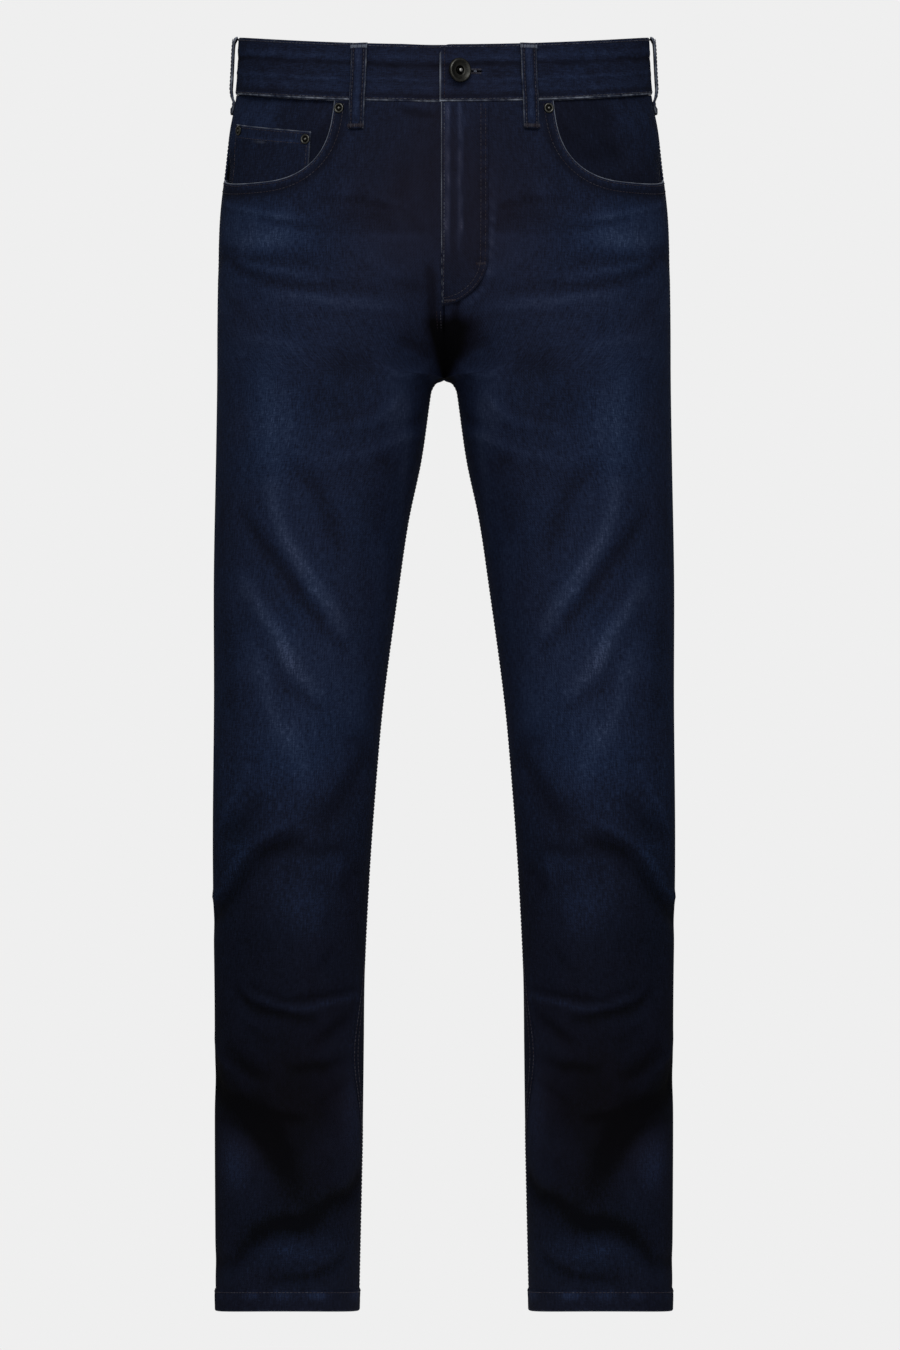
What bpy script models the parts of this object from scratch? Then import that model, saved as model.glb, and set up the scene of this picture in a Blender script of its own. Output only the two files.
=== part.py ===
"""Slim fit five-pocket jeans in stretch denim, filled out and hollow as if worn.

Metres, +Z up. The front faces -Y and the wearer's left is +X. The origin is the middle of the waist,
half way up the waistband, where the wearer holds the jeans. Every piece that is cut and sewn is its
own object: a wall of cloth bent on to one worn form, a stack of ovals whose sizes are in two tables.
"""

import math
from collections import namedtuple

import bmesh
import bpy
from mathutils import Vector

# Driving dimensions of the garment.
WAISTBAND_HEIGHT = 0.0475
TOP_FRONT_Z = 0.0065
TOP_SIDE_Z = 0.0270
TOP_BACK_Z = 0.033
CROTCH_Z = -0.2565
HEM_Z = -1.029
HEM_HEIGHT = 0.0175
HEM_LIFT = 0.0075  # the hem is cut this much higher over the instep, so it hangs level to the eye
HEM_LIFT_TOP_Z = -0.850
HEM_LIFT_POWER = 1.3

# Cloth and the gaps between the pieces.
DENIM = 0.0015
BAND_INSIDE = -0.0018
BAND_OUTSIDE = 0.0010
SEAM_GAP = 0.0003
PLY_GAP = 0.0008
LYING_GAP = 0.0005
HEM_RAISE = 0.0008
HALF_SEAM = SEAM_GAP / 2

# Where the two legs' ovals begin to part, how late in the rise most of it happens, and how softly it
# ends at the crotch.
FORK_TOP_Z = -0.060
FORK_POWER = 3.4
FORK_EASE = 1.9

# The body seen from the front and the side: half width, and reach to the front and to the back.
Outline = namedtuple("Outline", "z half_width front back")
OUTLINE = (
    Outline(0.035, 0.1690, 0.0900, 0.0870),
    Outline(-0.020, 0.1720, 0.0960, 0.0960),
    Outline(-0.051, 0.1775, 0.1005, 0.1045),
    Outline(-0.081, 0.1810, 0.1035, 0.1115),
    Outline(-0.121, 0.1855, 0.1060, 0.1190),
    Outline(-0.161, 0.1870, 0.1065, 0.1235),
    Outline(-0.210, 0.1878, 0.1055, 0.1225),
    Outline(-0.260, 0.1880, 0.1025, 0.1155),
    Outline(-0.324, 0.1890, 0.0970, 0.1045),
    Outline(-0.423, 0.1908, 0.0880, 0.0900),
    Outline(-0.523, 0.1907, 0.0800, 0.0770),
    Outline(-0.647, 0.1917, 0.0700, 0.0650),
    Outline(-0.772, 0.1902, 0.0610, 0.0660),
    Outline(-0.896, 0.1900, 0.0570, 0.0610),
    Outline(-1.029, 0.1892, 0.0540, 0.0550),
)

# Below the crotch: half the gap between the legs, and how far the inseam is turned to the front.
Leg = namedtuple("Leg", "z gap inseam_turn")
LEGS = (
    Leg(-0.2565, 0.0090, 0.00),
    Leg(-0.274, 0.0116, 0.00),
    Leg(-0.324, 0.0187, 0.02),
    Leg(-0.373, 0.0290, 0.04),
    Leg(-0.423, 0.0365, 0.06),
    Leg(-0.523, 0.0500, 0.08),
    Leg(-0.598, 0.0568, 0.09),
    Leg(-0.672, 0.0620, 0.10),
    Leg(-0.747, 0.0655, 0.22),
    Leg(-0.815, 0.0664, 0.52),
    Leg(-0.880, 0.0672, 0.20),
    Leg(-0.921, 0.0681, 0.12),
    Leg(-1.029, 0.0705, 0.10),
)
ARCH_DEPTH = 0.012  # at the inseam the gap opens fully within this drop, as a round arch
GAP_EASE_DEPTH = 0.110  # round the rest of the leg it opens over this drop
ARCH_REACH = 4  # how closely the arch keeps to the inseam

# The largest folds of one leg. Each is a soft trough about a bowed line: t is the place round the leg,
# lean and bow bend the line down the leg as t grows, and a negative depth makes a ridge.
Fold = namedtuple("Fold", "t z reach lean bow width depth")
FOLDS = (
    Fold(0.25, -0.185, 0.23, 0.10, 0.31, 0.014, 0.0014),
    Fold(0.24, -0.421, 0.11, 0.78, 2.15, 0.027, -0.0019),
    Fold(0.28, -0.475, 0.12, 0.61, 0.67, 0.024, -0.0022),
    Fold(0.36, -0.624, 0.09, -0.29, 1.67, 0.014, 0.0014),
    Fold(0.32, -0.640, 0.14, -0.30, -0.92, 0.014, -0.0020),
    Fold(0.37, -0.672, 0.21, -0.27, -0.07, 0.015, 0.0038),
    Fold(0.13, -0.585, 0.08, -0.52, -4.61, 0.025, 0.0020),
    Fold(0.17, -0.766, 0.22, 0.02, 0.35, 0.014, 0.0016),
    Fold(0.22, -0.772, 0.15, 0.04, 0.60, 0.014, -0.0015),
    Fold(0.25, -0.778, 0.16, 0.10, 0.53, 0.014, 0.0024),
    Fold(0.09, -0.793, 0.09, -0.27, 1.46, 0.014, 0.0016),
    Fold(0.32, -0.820, 0.09, 0.18, 0.17, 0.014, 0.0016),
    Fold(0.30, -0.864, 0.13, 0.44, -3.29, 0.028, 0.0044),
    Fold(0.23, -0.953, 0.23, -0.17, -0.20, 0.014, 0.0036),
    Fold(0.18, -0.998, 0.15, -0.11, 0.73, 0.014, 0.0019),
    Fold(0.73, -0.259, 0.18, 0.07, 0.56, 0.014, 0.0018),
    Fold(0.75, -0.291, 0.14, 0.13, 0.93, 0.014, 0.0015),
    Fold(0.68, -0.565, 0.20, 0.10, -0.49, 0.014, 0.0020),
    Fold(0.71, -0.592, 0.23, -0.07, 0.80, 0.014, 0.0026),
    Fold(0.71, -0.607, 0.16, -0.01, 0.45, 0.014, -0.0016),
    Fold(0.72, -0.626, 0.24, -0.01, 0.66, 0.014, 0.0030),
    Fold(0.72, -0.661, 0.24, -0.03, 0.50, 0.014, 0.0026),
    Fold(0.67, -0.690, 0.17, -0.03, -0.39, 0.014, 0.0019),
    Fold(0.70, -0.771, 0.23, -0.01, 0.60, 0.014, 0.0019),
    Fold(0.67, -0.808, 0.15, 0.01, 0.69, 0.014, 0.0018),
    Fold(0.69, -0.877, 0.22, -0.18, 0.12, 0.016, 0.0030),
    Fold(0.74, -0.949, 0.23, 0.12, -0.01, 0.014, 0.0028),
    Fold(0.76, -1.000, 0.14, -0.01, 0.83, 0.014, 0.0014),
)

# How fine the cloth's grids are.
FRONT_COLUMNS = 14
BACK_COLUMNS = 12
UPPER_ROWS = 5
RISE_ROWS = 6
ARCH_ROWS = 4
THIGH_ROWS = 6
CALF_ROWS = 22
LEVEL_Z = -0.140  # every row below this height is level
ARCH_END_Z = -0.300
CREASED_Z = -0.560  # from here down the rows are close enough to hold the folds
YOKE_ROWS = 3
FACING_GRID = (12, 7)
COIN_GRID = (8, 5)
FLY_GRID = (6, 12)
POCKET_GRID = (10, 8)

# Front pocket: the scoop is cut out of the front panel, and the facing shows in it.
SCOOP_T = 0.169
SCOOP_FLAT_T = 0.300
SCOOP_Z = -0.1005
SCOOP_SIDE_Z = -0.0910
SCOOP_ROUNDNESS = 2.7
SCOOP_SEAM_SHARE = 4 / 14  # of the panel's columns, those along the waist seam
SCOOP_BEND_SHARE = 0.62  # of the columns along the scoop, those in its bend
FACING_T = 0.150
FACING_BOTTOM_Z = -0.1145
FACING_FLUSH_T = 0.36
FACING_FLUSH_Z = -0.0880
FACING_RAMP = (0.12, 0.030)
COIN_INNER_T = 0.2077
COIN_OUTER_T = 0.4170
COIN_INNER_Z = -0.0620
COIN_OUTER_Z = -0.0485
COIN_BOTTOM_Z = -0.1100
COIN_CLOTH = 0.0012

# Fly: a strip on the wearer's left front whose lower end curves in to the centre seam.
FLY_WIDTH = 0.0355
FLY_OVER = 0.0020
FLY_BOTTOM_Z = -0.204
FLY_CLOTH = 0.0012
NEAR_FLY_T = 0.04  # a place by the centre front, where widths along the cloth are turned into t

# Back: yoke seam, and the patch pockets.
YOKE_SIDE_DROP = 0.036
YOKE_CENTRE_DROP = 0.072
POCKET_FROM_SIDE = 0.128
POCKET_FOOT_SHIFT = 0.004
POCKET_TOP_Z = -0.084
POCKET_TILT = 0.006
POCKET_TOP_WIDTH = 0.146
POCKET_FOOT_WIDTH = 0.122
POCKET_SIDE = 0.128
POCKET_POINT = 0.026
POCKET_GAP = 0.0010  # the seat curves both ways, so its patch needs a little more room

# Waistband ends: the underlap on the wearer's right goes in beneath the overlap on the left.
UNDERLAP_T = 0.062
OVERLAP_T = 0.006
STEP_START_T = 0.070
STEP_END_T = 0.020
UNDERLAP_STEP = 0.0037
BAND_COLUMNS = 64

# Belt loops. The waist coordinate is 0 at the centre front and runs by the wearer's right to 1 at the
# centre back and by the left to 2.
LOOP_WIDTH = 0.0125
LOOP_CLOTH = 0.0016
LOOP_STANDOFF = 0.0033
LOOP_FOOT = 0.009
Loop = namedtuple("Loop", "name waist drop")
LOOPS = (
    Loop("belt_loop_front_right", 0.129, 0.023),
    Loop("belt_loop_side_right", 0.502, 0.016),
    Loop("belt_loop_back", 1.000, 0.018),
    Loop("belt_loop_side_left", 1.498, 0.016),
    Loop("belt_loop_front_left", 1.871, 0.023),
)

# Metal trims. The button is turned about the upright by the pull of its buttonhole.
BUTTON_RADIUS = 0.0100
BUTTON_X = 0.0095
BUTTON_Z = -0.0158
BUTTON_TILT = math.radians(26)
BUTTON_REACH = 0.0062
BUTTON_STEPS = 20
SHANK_RADIUS = 0.0026
SHANK_LENGTH = 0.0074
EYELET_RADIUS = 0.0045
SLIT_HALF = 0.0007
BUTTONHOLE_LENGTH = 0.0205
RIVET_RADIUS = 0.0042
RIVET_GAP = 0.0006
RIVET_STEPS = 12
RIVET_FROM_SCOOP_T = 0.010
RIVET_BELOW_SEAM = 0.0065
RIVET_BELOW_COIN_HEM = 0.0060
RIVET_INSIDE_COIN_T = (0.0085, 0.0180)
Rivet = namedtuple("Rivet", "name side t z level")

# Plain stand-in finishes.
Finish = namedtuple("Finish", "red green blue roughness metallic")
PANEL_DENIM = Finish(0.010, 0.014, 0.036, 0.9, 0.0)
TRIM_DENIM = Finish(0.013, 0.018, 0.044, 0.9, 0.0)
GUNMETAL = Finish(0.032, 0.032, 0.030, 0.35, 1.0)

RIGHT = -1
LEFT = 1
SIDE_NAMES = {RIGHT: "right", LEFT: "left"}


def mix(a, b, share):
    return a + (b - a) * share


def ease(share):
    """0 to 1, level at both ends."""
    share = min(max(share, 0.0), 1.0)
    return share * share * (3 - 2 * share)


def read(rows, z):
    """The row at height z, on a smooth curve through the table's rows, which run from the top down."""
    z = min(max(z, rows[-1].z), rows[0].z)
    last = len(rows) - 1
    i = next(k for k in range(last) if z >= rows[k + 1].z)
    near = [rows[max(i - 1, 0)], rows[i], rows[i + 1], rows[min(i + 2, last)]]
    span = near[2].z - near[1].z
    s = (z - near[1].z) / span
    values = []
    for before, a, b, after in zip(*near):
        slope_a = (b - before) / (near[2].z - near[0].z) * span
        slope_b = (after - a) / (near[3].z - near[1].z) * span
        values.append(
            (2 * s**3 - 3 * s**2 + 1) * a
            + (s**3 - 2 * s**2 + s) * slope_a
            + (3 * s**2 - 2 * s**3) * b
            + (s**3 - s**2) * slope_b
        )
    return type(rows[0])(*values)


def oval(z):
    """One side's oval at height z: centre, half width, the angles where its cloth starts and ends, and
    how far the arch of the crotch pushes the cloth out at the inseam.

    Above the crotch the ovals of the two sides overlap and each is cut off at the middle of the body.
    Below it each is whole, and the cloth starts and ends at the inseam.
    """
    half_width = read(OUTLINE, z).half_width
    if z > CROTCH_Z:
        fall = min(max((FORK_TOP_Z - z) / (FORK_TOP_Z - CROTCH_Z), 0.0), 1.0)
        parting = 1 - (1 - fall**FORK_POWER) ** FORK_EASE
        half = half_width / (1 + parting)
        start = math.acos(parting)
        return half * parting, half, start, 2 * math.pi - start, 0.0
    leg = read(LEGS, z)
    drop = CROTCH_Z - z
    gap = leg.gap * ease(drop / GAP_EASE_DEPTH)
    arch = leg.gap * math.sqrt(1 - (1 - min(drop / ARCH_DEPTH, 1.0)) ** 2) - gap
    half = (half_width - gap) / 2
    return gap + half, half, leg.inseam_turn, 2 * math.pi + leg.inseam_turn, arch


def fold_depth(t, z):
    """How far the folds push the cloth in at a place on a leg."""
    depth = 0.0
    for fold in FOLDS:
        along = (t - fold.t) / fold.reach
        if abs(along) < 1:
            line = fold.z + fold.lean * (t - fold.t) + fold.bow * (t - fold.t) ** 2
            across = (z - line) / fold.width
            depth += fold.depth * math.exp(-across * across) * (1 - along * along) ** 2
    return depth


def form_point(side, t, z, out=0.0):
    """A point of the worn form, moved out along its level normal.

    t is 0 at the centre front or inseam, 0.5 at the side seam and 1 at the centre back or inseam.
    A t below 0 carries on over the centre front on to the other side.
    """
    if t < 0:
        return form_point(-side, -t, z, out)
    centre, half, start, end, arch = oval(z)
    if t < 0.5:
        angle = mix(start, math.pi, 2 * t)
    else:
        angle = mix(math.pi, end, 2 * t - 1)
    outline = read(OUTLINE, z)
    depth = outline.front if math.sin(angle) > 0 else outline.back
    normal = Vector((-math.cos(angle) / half, -math.sin(angle) / depth))
    normal.normalize()
    move = out - fold_depth(t, z)
    arch *= max(math.cos(angle), 0.0) ** ARCH_REACH
    x = HALF_SEAM + centre - half * math.cos(angle) + arch + normal.x * move
    y = -depth * math.sin(angle) + normal.y * move
    lowered = ease((HEM_LIFT_TOP_Z - z) / (HEM_LIFT_TOP_Z - HEM_Z))
    lift = HEM_LIFT * max(math.sin(angle), 0.0) ** HEM_LIFT_POWER * lowered
    return Vector((side * x, y, z + lift))


def form_normal(side, t, z):
    """The level direction out of the cloth at a place on the form."""
    return (form_point(side, t, z, 0.01) - form_point(side, t, z)).normalized()


def t_from_side(distance, z):
    """t at a distance along the back's cloth from the side seam."""
    t = 0.5
    step = 0.01
    while distance > 0:
        length = (form_point(LEFT, t + step, z) - form_point(LEFT, t, z)).length
        t += step * min(distance / length, 1.0)
        distance -= length
    return t


def arc_rate(t, z):
    """Metres along the section for each unit of t."""
    step = 0.01
    return (form_point(LEFT, t + step, z) - form_point(LEFT, t - step, z)).length / (2 * step)


def around(waist):
    """The side and t of a waist coordinate, which may run past either end of the waistband."""
    if waist < 0:
        return LEFT, -waist
    if waist <= 1:
        return RIGHT, waist
    if waist <= 2:
        return LEFT, 2 - waist
    return RIGHT, waist - 2


def waist_top(t):
    """Height of the waistband's top edge: low at the centre front, high at the centre back."""
    first = (TOP_FRONT_Z - TOP_BACK_Z) / 2
    level = (TOP_FRONT_Z + TOP_BACK_Z) / 4 + TOP_SIDE_Z / 2
    second = (TOP_FRONT_Z + TOP_BACK_Z) / 4 - TOP_SIDE_Z / 2
    return level + first * math.cos(math.pi * t) + second * math.cos(2 * math.pi * t)


def waist_seam(t):
    return waist_top(t) - WAISTBAND_HEIGHT


def yoke_seam(t):
    """Height of the yoke's lower edge, which falls to a V at the centre back."""
    return waist_seam(t) - mix(YOKE_SIDE_DROP, YOKE_CENTRE_DROP, 2 * t - 1)


def scoop_edge(share):
    """t and height along the front panel's top edge: the waist seam, then the pocket's scoop."""
    if share <= SCOOP_SEAM_SHARE:
        t = mix(0.0, SCOOP_T, share / SCOOP_SEAM_SHARE)
        return t, waist_seam(t)
    along = (share - SCOOP_SEAM_SHARE) / (1 - SCOOP_SEAM_SHARE)
    if along <= SCOOP_BEND_SHARE:
        angle = along / SCOOP_BEND_SHARE * math.pi / 2
        power = 2 / SCOOP_ROUNDNESS
        t = mix(SCOOP_FLAT_T, SCOOP_T, max(math.cos(angle), 0.0) ** power)
        return t, mix(waist_seam(SCOOP_T), SCOOP_Z, math.sin(angle) ** power)
    flat = (along - SCOOP_BEND_SHARE) / (1 - SCOOP_BEND_SHARE)
    return mix(SCOOP_FLAT_T, 0.5, flat), mix(SCOOP_Z, SCOOP_SIDE_Z, flat * flat)


def level_rows():
    """The heights of the rows from LEVEL_Z to the hem, close together at the crotch."""
    rise = [
        mix(LEVEL_Z, CROTCH_Z, math.sin(math.pi / 2 * k / RISE_ROWS)) for k in range(RISE_ROWS + 1)
    ]
    arch = [mix(CROTCH_Z, ARCH_END_Z, (k / ARCH_ROWS) ** 2) for k in range(1, ARCH_ROWS + 1)]
    thigh = [mix(ARCH_END_Z, CREASED_Z, k / THIGH_ROWS) for k in range(1, THIGH_ROWS + 1)]
    hem_seam = HEM_Z + HEM_HEIGHT
    calf = [mix(CREASED_Z, hem_seam, k / CALF_ROWS) for k in range(1, CALF_ROWS + 1)]
    return rise + arch + thigh + calf + [hem_seam - SEAM_GAP, HEM_Z]


def finished(name, finish):
    """A material for one piece."""
    material = bpy.data.materials.new(name)
    material.use_nodes = True
    shader = material.node_tree.nodes["Principled BSDF"]
    shader.inputs["Base Color"].default_value = (finish.red, finish.green, finish.blue, 1.0)
    shader.inputs["Roughness"].default_value = finish.roughness
    shader.inputs["Metallic"].default_value = finish.metallic
    return material


def add_object(name, mesh, finish, parts, root):
    obj = bpy.data.objects.new(name, mesh)
    mesh.materials.append(finished(name, finish))
    parts.objects.link(obj)
    obj.parent = root
    return obj


def cloth_mesh(name, columns, rows, place):
    """A wall of cloth. A flat grid is extruded, and both skins are bent on to the form.

    place(u, v, row) gives the side, t, height, inside level and outside level of a grid point, with u
    and v from 0 to 1 across and down the piece. Levels are distances out from the form.
    """
    mesh = bpy.data.meshes.new(name)
    bm = bmesh.new()
    bmesh.ops.create_grid(bm, x_segments=columns, y_segments=rows, size=0.5)
    skin = bm.verts.layers.int.new("outside")
    u_layer = bm.verts.layers.float.new("u")
    row_layer = bm.verts.layers.int.new("row")
    for vert in bm.verts:
        vert[u_layer] = vert.co.x + 0.5
        vert[row_layer] = round((0.5 - vert.co.y) * rows)
        vert[skin] = 1
    grown = bmesh.ops.extrude_face_region(bm, geom=bm.faces[:])
    for item in grown["geom"]:
        if isinstance(item, bmesh.types.BMVert):
            item[skin] = 0
    for vert in bm.verts:
        row = vert[row_layer]
        side, t, z, inside, outside = place(vert[u_layer], row / rows, row)
        vert.co = form_point(side, t, z, outside if vert[skin] else inside)
    bmesh.ops.recalc_face_normals(bm, faces=bm.faces[:])
    if bm.calc_volume(signed=True) < 0:
        bmesh.ops.reverse_faces(bm, faces=bm.faces[:])
    bm.to_mesh(mesh)
    bm.free()
    mesh.shade_smooth()
    mesh.set_sharp_from_angle(angle=math.radians(40))
    return mesh


def trimmed(t_from, t_to, u, z):
    """t across a piece, kept half a seam gap inside both of its edges."""
    trim = HALF_SEAM / arc_rate(mix(t_from, t_to, 0.5), z)
    return mix(t_from + trim, t_to - trim, u)


def panel(name, side, t_from, t_to, columns, top_edge, parts, root):
    """A front or back panel, from its top edge down one leg to the hem, with the hem's turned fold."""
    levels = level_rows()
    rows = UPPER_ROWS + len(levels) - 1

    def place(u, _, row):
        if row >= UPPER_ROWS:
            z = levels[row - UPPER_ROWS]
            raised = HEM_RAISE if row >= rows - 1 else 0.0
            return side, trimmed(t_from, t_to, u, z), z, -DENIM, raised
        near_top = 1 - row / UPPER_ROWS
        edge_t, edge_z = top_edge(u)
        z = mix(LEVEL_Z, edge_z - HALF_SEAM, near_top)
        level_t = trimmed(t_from, t_to, u, z)
        edge_t = min(max(edge_t, trimmed(t_from, t_to, 0, z)), trimmed(t_from, t_to, 1, z))
        return side, mix(level_t, edge_t, near_top), z, -DENIM, 0.0

    add_object(name, cloth_mesh(name, columns, rows, place), PANEL_DENIM, parts, root)


def facing_level(side, t, z):
    """Outside level of the pocket facing: under the front panel at the scoop, flush at the side seam."""
    sunk = -DENIM - PLY_GAP
    if side == RIGHT:
        sunk -= COIN_CLOTH + LYING_GAP
    ramp_t, ramp_z = FACING_RAMP
    raised = ease((t - FACING_FLUSH_T) / ramp_t) * ease((z - FACING_FLUSH_Z) / ramp_z)
    return mix(sunk, 0.0, raised)


def pocket_facing(side, parts, root):
    """The side piece behind the scoop. It runs on under the front panel, as the real one does."""

    def place(u, v, _):
        t = trimmed(FACING_T, 0.5, u, SCOOP_Z)
        z = mix(waist_seam(t) - HALF_SEAM, FACING_BOTTOM_Z, v)
        level = facing_level(side, t, z)
        return side, t, z, level - DENIM, level

    name = "pocket_facing_" + SIDE_NAMES[side]
    add_object(name, cloth_mesh(name, *FACING_GRID, place), TRIM_DENIM, parts, root)


def coin_pocket(parts, root):
    """The small patch on the wearer's right facing; its foot goes down behind the scoop's edge."""

    def place(u, v, _):
        t = mix(COIN_INNER_T, COIN_OUTER_T, u)
        z = mix(mix(COIN_INNER_Z, COIN_OUTER_Z, u), COIN_BOTTOM_Z, v)
        under = facing_level(RIGHT, t, z) + LYING_GAP
        return RIGHT, t, z, under, under + COIN_CLOTH

    name = "coin_pocket"
    add_object(name, cloth_mesh(name, *COIN_GRID, place), TRIM_DENIM, parts, root)


def fly_strip(parts, root):
    """The fly's outer ply. Its free edge lies just over the wearer's right front."""

    def place(u, v, _):
        turn = u * math.pi / 2
        top_z = waist_seam(0.0) - HALF_SEAM
        foot_z = FLY_BOTTOM_Z + FLY_WIDTH * (1 - math.cos(turn))
        z = mix(top_z, foot_z, v)
        x = mix(-FLY_OVER, FLY_WIDTH, math.sin(turn))
        return LEFT, x / arc_rate(NEAR_FLY_T, z), z, LYING_GAP, LYING_GAP + FLY_CLOTH

    add_object("fly", cloth_mesh("fly", *FLY_GRID, place), TRIM_DENIM, parts, root)


def yoke(side, parts, root):
    """The shaped piece between the waistband and the back panel."""

    def place(u, v, _):
        t = trimmed(0.5, 1.0, u, -0.05)
        z = mix(waist_seam(t) - HALF_SEAM, yoke_seam(t) + HALF_SEAM, v)
        return side, t, z, -DENIM, 0.0

    name = "yoke_" + SIDE_NAMES[side]
    add_object(name, cloth_mesh(name, BACK_COLUMNS, YOKE_ROWS, place), TRIM_DENIM, parts, root)


def back_pocket(side, parts, root):
    """A patch pocket: a straight mouth, sides that draw in a little, and a blunt point."""

    def place(u, v, _):
        across = 2 * u - 1
        width = mix(POCKET_TOP_WIDTH, POCKET_FOOT_WIDTH, v)
        height = POCKET_SIDE + POCKET_POINT * (1 - abs(across))
        z = POCKET_TOP_Z - POCKET_TILT * across - v * height
        middle = POCKET_FROM_SIDE + POCKET_FOOT_SHIFT * v
        t = t_from_side(middle + across * width / 2, z)
        return side, t, z, POCKET_GAP, POCKET_GAP + DENIM

    name = "back_pocket_" + SIDE_NAMES[side]
    add_object(name, cloth_mesh(name, *POCKET_GRID, place), TRIM_DENIM, parts, root)


def buttonhole_cutter(cutters):
    """A keyhole-shaped plug through the overlap only: a round eyelet at the button and a slit."""
    length = EYELET_RADIUS + BUTTONHOLE_LENGTH

    def place(u, v, _):
        along = u * length
        eyelet = math.sqrt(max(EYELET_RADIUS**2 - (along - EYELET_RADIUS) ** 2, 0.0))
        half = max(eyelet, SLIT_HALF)
        x = BUTTON_X - EYELET_RADIUS + along
        z = BUTTON_Z + half * (1 - 2 * v)
        between_plies = BAND_INSIDE - 0.0007
        return LEFT, x / arc_rate(NEAR_FLY_T, z), z, between_plies, BAND_OUTSIDE + 0.003

    obj = bpy.data.objects.new("buttonhole_cutter", cloth_mesh("buttonhole_cutter", 22, 1, place))
    obj.hide_render = True
    obj.display_type = "WIRE"
    cutters.objects.link(obj)
    return obj


def waistband(parts, cutters, root):
    """One long band whose right end steps in under its left end, with the buttonhole cut in the left."""
    first = -UNDERLAP_T
    last = 2 + OVERLAP_T

    def place(u, v, _):
        waist = mix(first, last, u)
        side, t = around(waist)
        step = UNDERLAP_STEP * (1 - ease((waist - STEP_END_T) / (STEP_START_T - STEP_END_T)))
        z = mix(waist_top(t), waist_seam(t) + HALF_SEAM, v)
        return side, t, z, BAND_INSIDE - step, BAND_OUTSIDE - step

    mesh = cloth_mesh("waistband", BAND_COLUMNS, 2, place)
    obj = add_object("waistband", mesh, TRIM_DENIM, parts, root)
    cut = obj.modifiers.new("buttonhole", "BOOLEAN")
    cut.operation = "DIFFERENCE"
    cut.object = buttonhole_cutter(cutters)


def belt_loop(loop, parts, root):
    """A narrow strip tacked below the band and at its top edge, standing clear of it for the belt."""
    side, t = around(loop.waist)
    top_z = waist_top(t)
    seam_z = waist_seam(t)
    foot_z = seam_z - loop.drop
    on_band = BAND_OUTSIDE + LYING_GAP
    clear = BAND_OUTSIDE + LOOP_STANDOFF
    path = (
        (foot_z, LYING_GAP),
        (foot_z + LOOP_FOOT, LYING_GAP),
        (seam_z - 0.002, on_band + 0.0012),
        (seam_z + 0.003, clear - 0.0004),
        (seam_z + 0.009, clear),
        (top_z - 0.009, clear),
        (top_z - 0.003, clear - 0.0010),
        (top_z - 0.0003, on_band),
    )
    mesh = bpy.data.meshes.new(loop.name)
    bm = bmesh.new()
    columns = 2
    rows = len(path) - 1
    bmesh.ops.create_grid(bm, x_segments=columns, y_segments=rows, size=0.5)
    for vert in bm.verts:
        z, out = path[round((vert.co.y + 0.5) * rows)]
        rate = arc_rate(min(t, 0.98), z)
        vert.co = form_point(*around(loop.waist - vert.co.x * LOOP_WIDTH / rate), z, out)
    bm.normal_update()
    bm.faces.ensure_lookup_table()
    if form_normal(side, t, seam_z).dot(bm.faces[0].normal) < 0:
        bmesh.ops.reverse_faces(bm, faces=bm.faces[:])
    bm.to_mesh(mesh)
    bm.free()
    obj = add_object(loop.name, mesh, TRIM_DENIM, parts, root)
    wall = obj.modifiers.new("cloth", "SOLIDIFY")
    wall.thickness = LOOP_CLOTH
    wall.offset = 1.0


def turned(name, profile, steps, parts, root):
    """A round metal trim: its profile, from the axis at the top down its outer side, spun about Z."""
    mesh = bpy.data.meshes.new(name)
    points = [(radius, 0.0, height) for radius, height in profile]
    mesh.from_pydata(points, [(i, i + 1) for i in range(len(points) - 1)], [])
    obj = add_object(name, mesh, GUNMETAL, parts, root)
    spin = obj.modifiers.new("turn", "SCREW")
    spin.steps = steps
    spin.render_steps = steps
    spin.use_merge_vertices = True
    spin.merge_threshold = 0.00001
    return obj


def fly_button(parts, root):
    """The waist button: a rolled rim round a deep dish with a stud in it, on a shank, tilted by the pull."""
    radius = BUTTON_RADIUS
    face = 0.0030
    profile = (
        (0.0, face - 0.0004),
        (0.0012, face - 0.0006),
        (0.0020, face - 0.0018),
        (0.0030, face - 0.0020),
        (0.0036, face - 0.0004),
        (radius * 0.62, face),
        (radius * 0.90, face - 0.0005),
        (radius, face - 0.0016),
        (radius * 0.97, face - 0.0026),
        (radius * 0.60, face - 0.0030),
        (SHANK_RADIUS + 0.0006, face - 0.0034),
        (SHANK_RADIUS, face - 0.0042),
        (SHANK_RADIUS, -SHANK_LENGTH),
        (0.0, -SHANK_LENGTH),
    )
    button = turned("button", profile, BUTTON_STEPS, parts, root)
    t = BUTTON_X / arc_rate(NEAR_FLY_T, BUTTON_Z)
    straight_out = form_normal(LEFT, t, BUTTON_Z)
    turn = math.atan2(straight_out.y, straight_out.x) + BUTTON_TILT
    facing = Vector((math.cos(turn), math.sin(turn), 0.0))
    button.location = form_point(LEFT, t, BUTTON_Z) + facing * BUTTON_REACH
    button.rotation_mode = "QUATERNION"
    button.rotation_quaternion = facing.to_track_quat("Z", "Y")


def rivet(item, parts, root):
    """A small domed rivet cap with a ring groove and a nipple."""
    radius = RIVET_RADIUS
    profile = (
        (0.0, 0.0013),
        (radius * 0.22, 0.0011),
        (radius * 0.36, 0.0006),
        (radius * 0.52, 0.0006),
        (radius * 0.68, 0.0012),
        (radius * 0.90, 0.0010),
        (radius, 0.0004),
        (radius * 0.96, 0.0),
        (0.0, 0.0),
    )
    obj = turned(item.name, profile, RIVET_STEPS, parts, root)
    obj.location = form_point(item.side, item.t, item.z, item.level + RIVET_GAP)
    obj.rotation_mode = "QUATERNION"
    obj.rotation_quaternion = form_normal(item.side, item.t, item.z).to_track_quat("Z", "Y")


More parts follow.
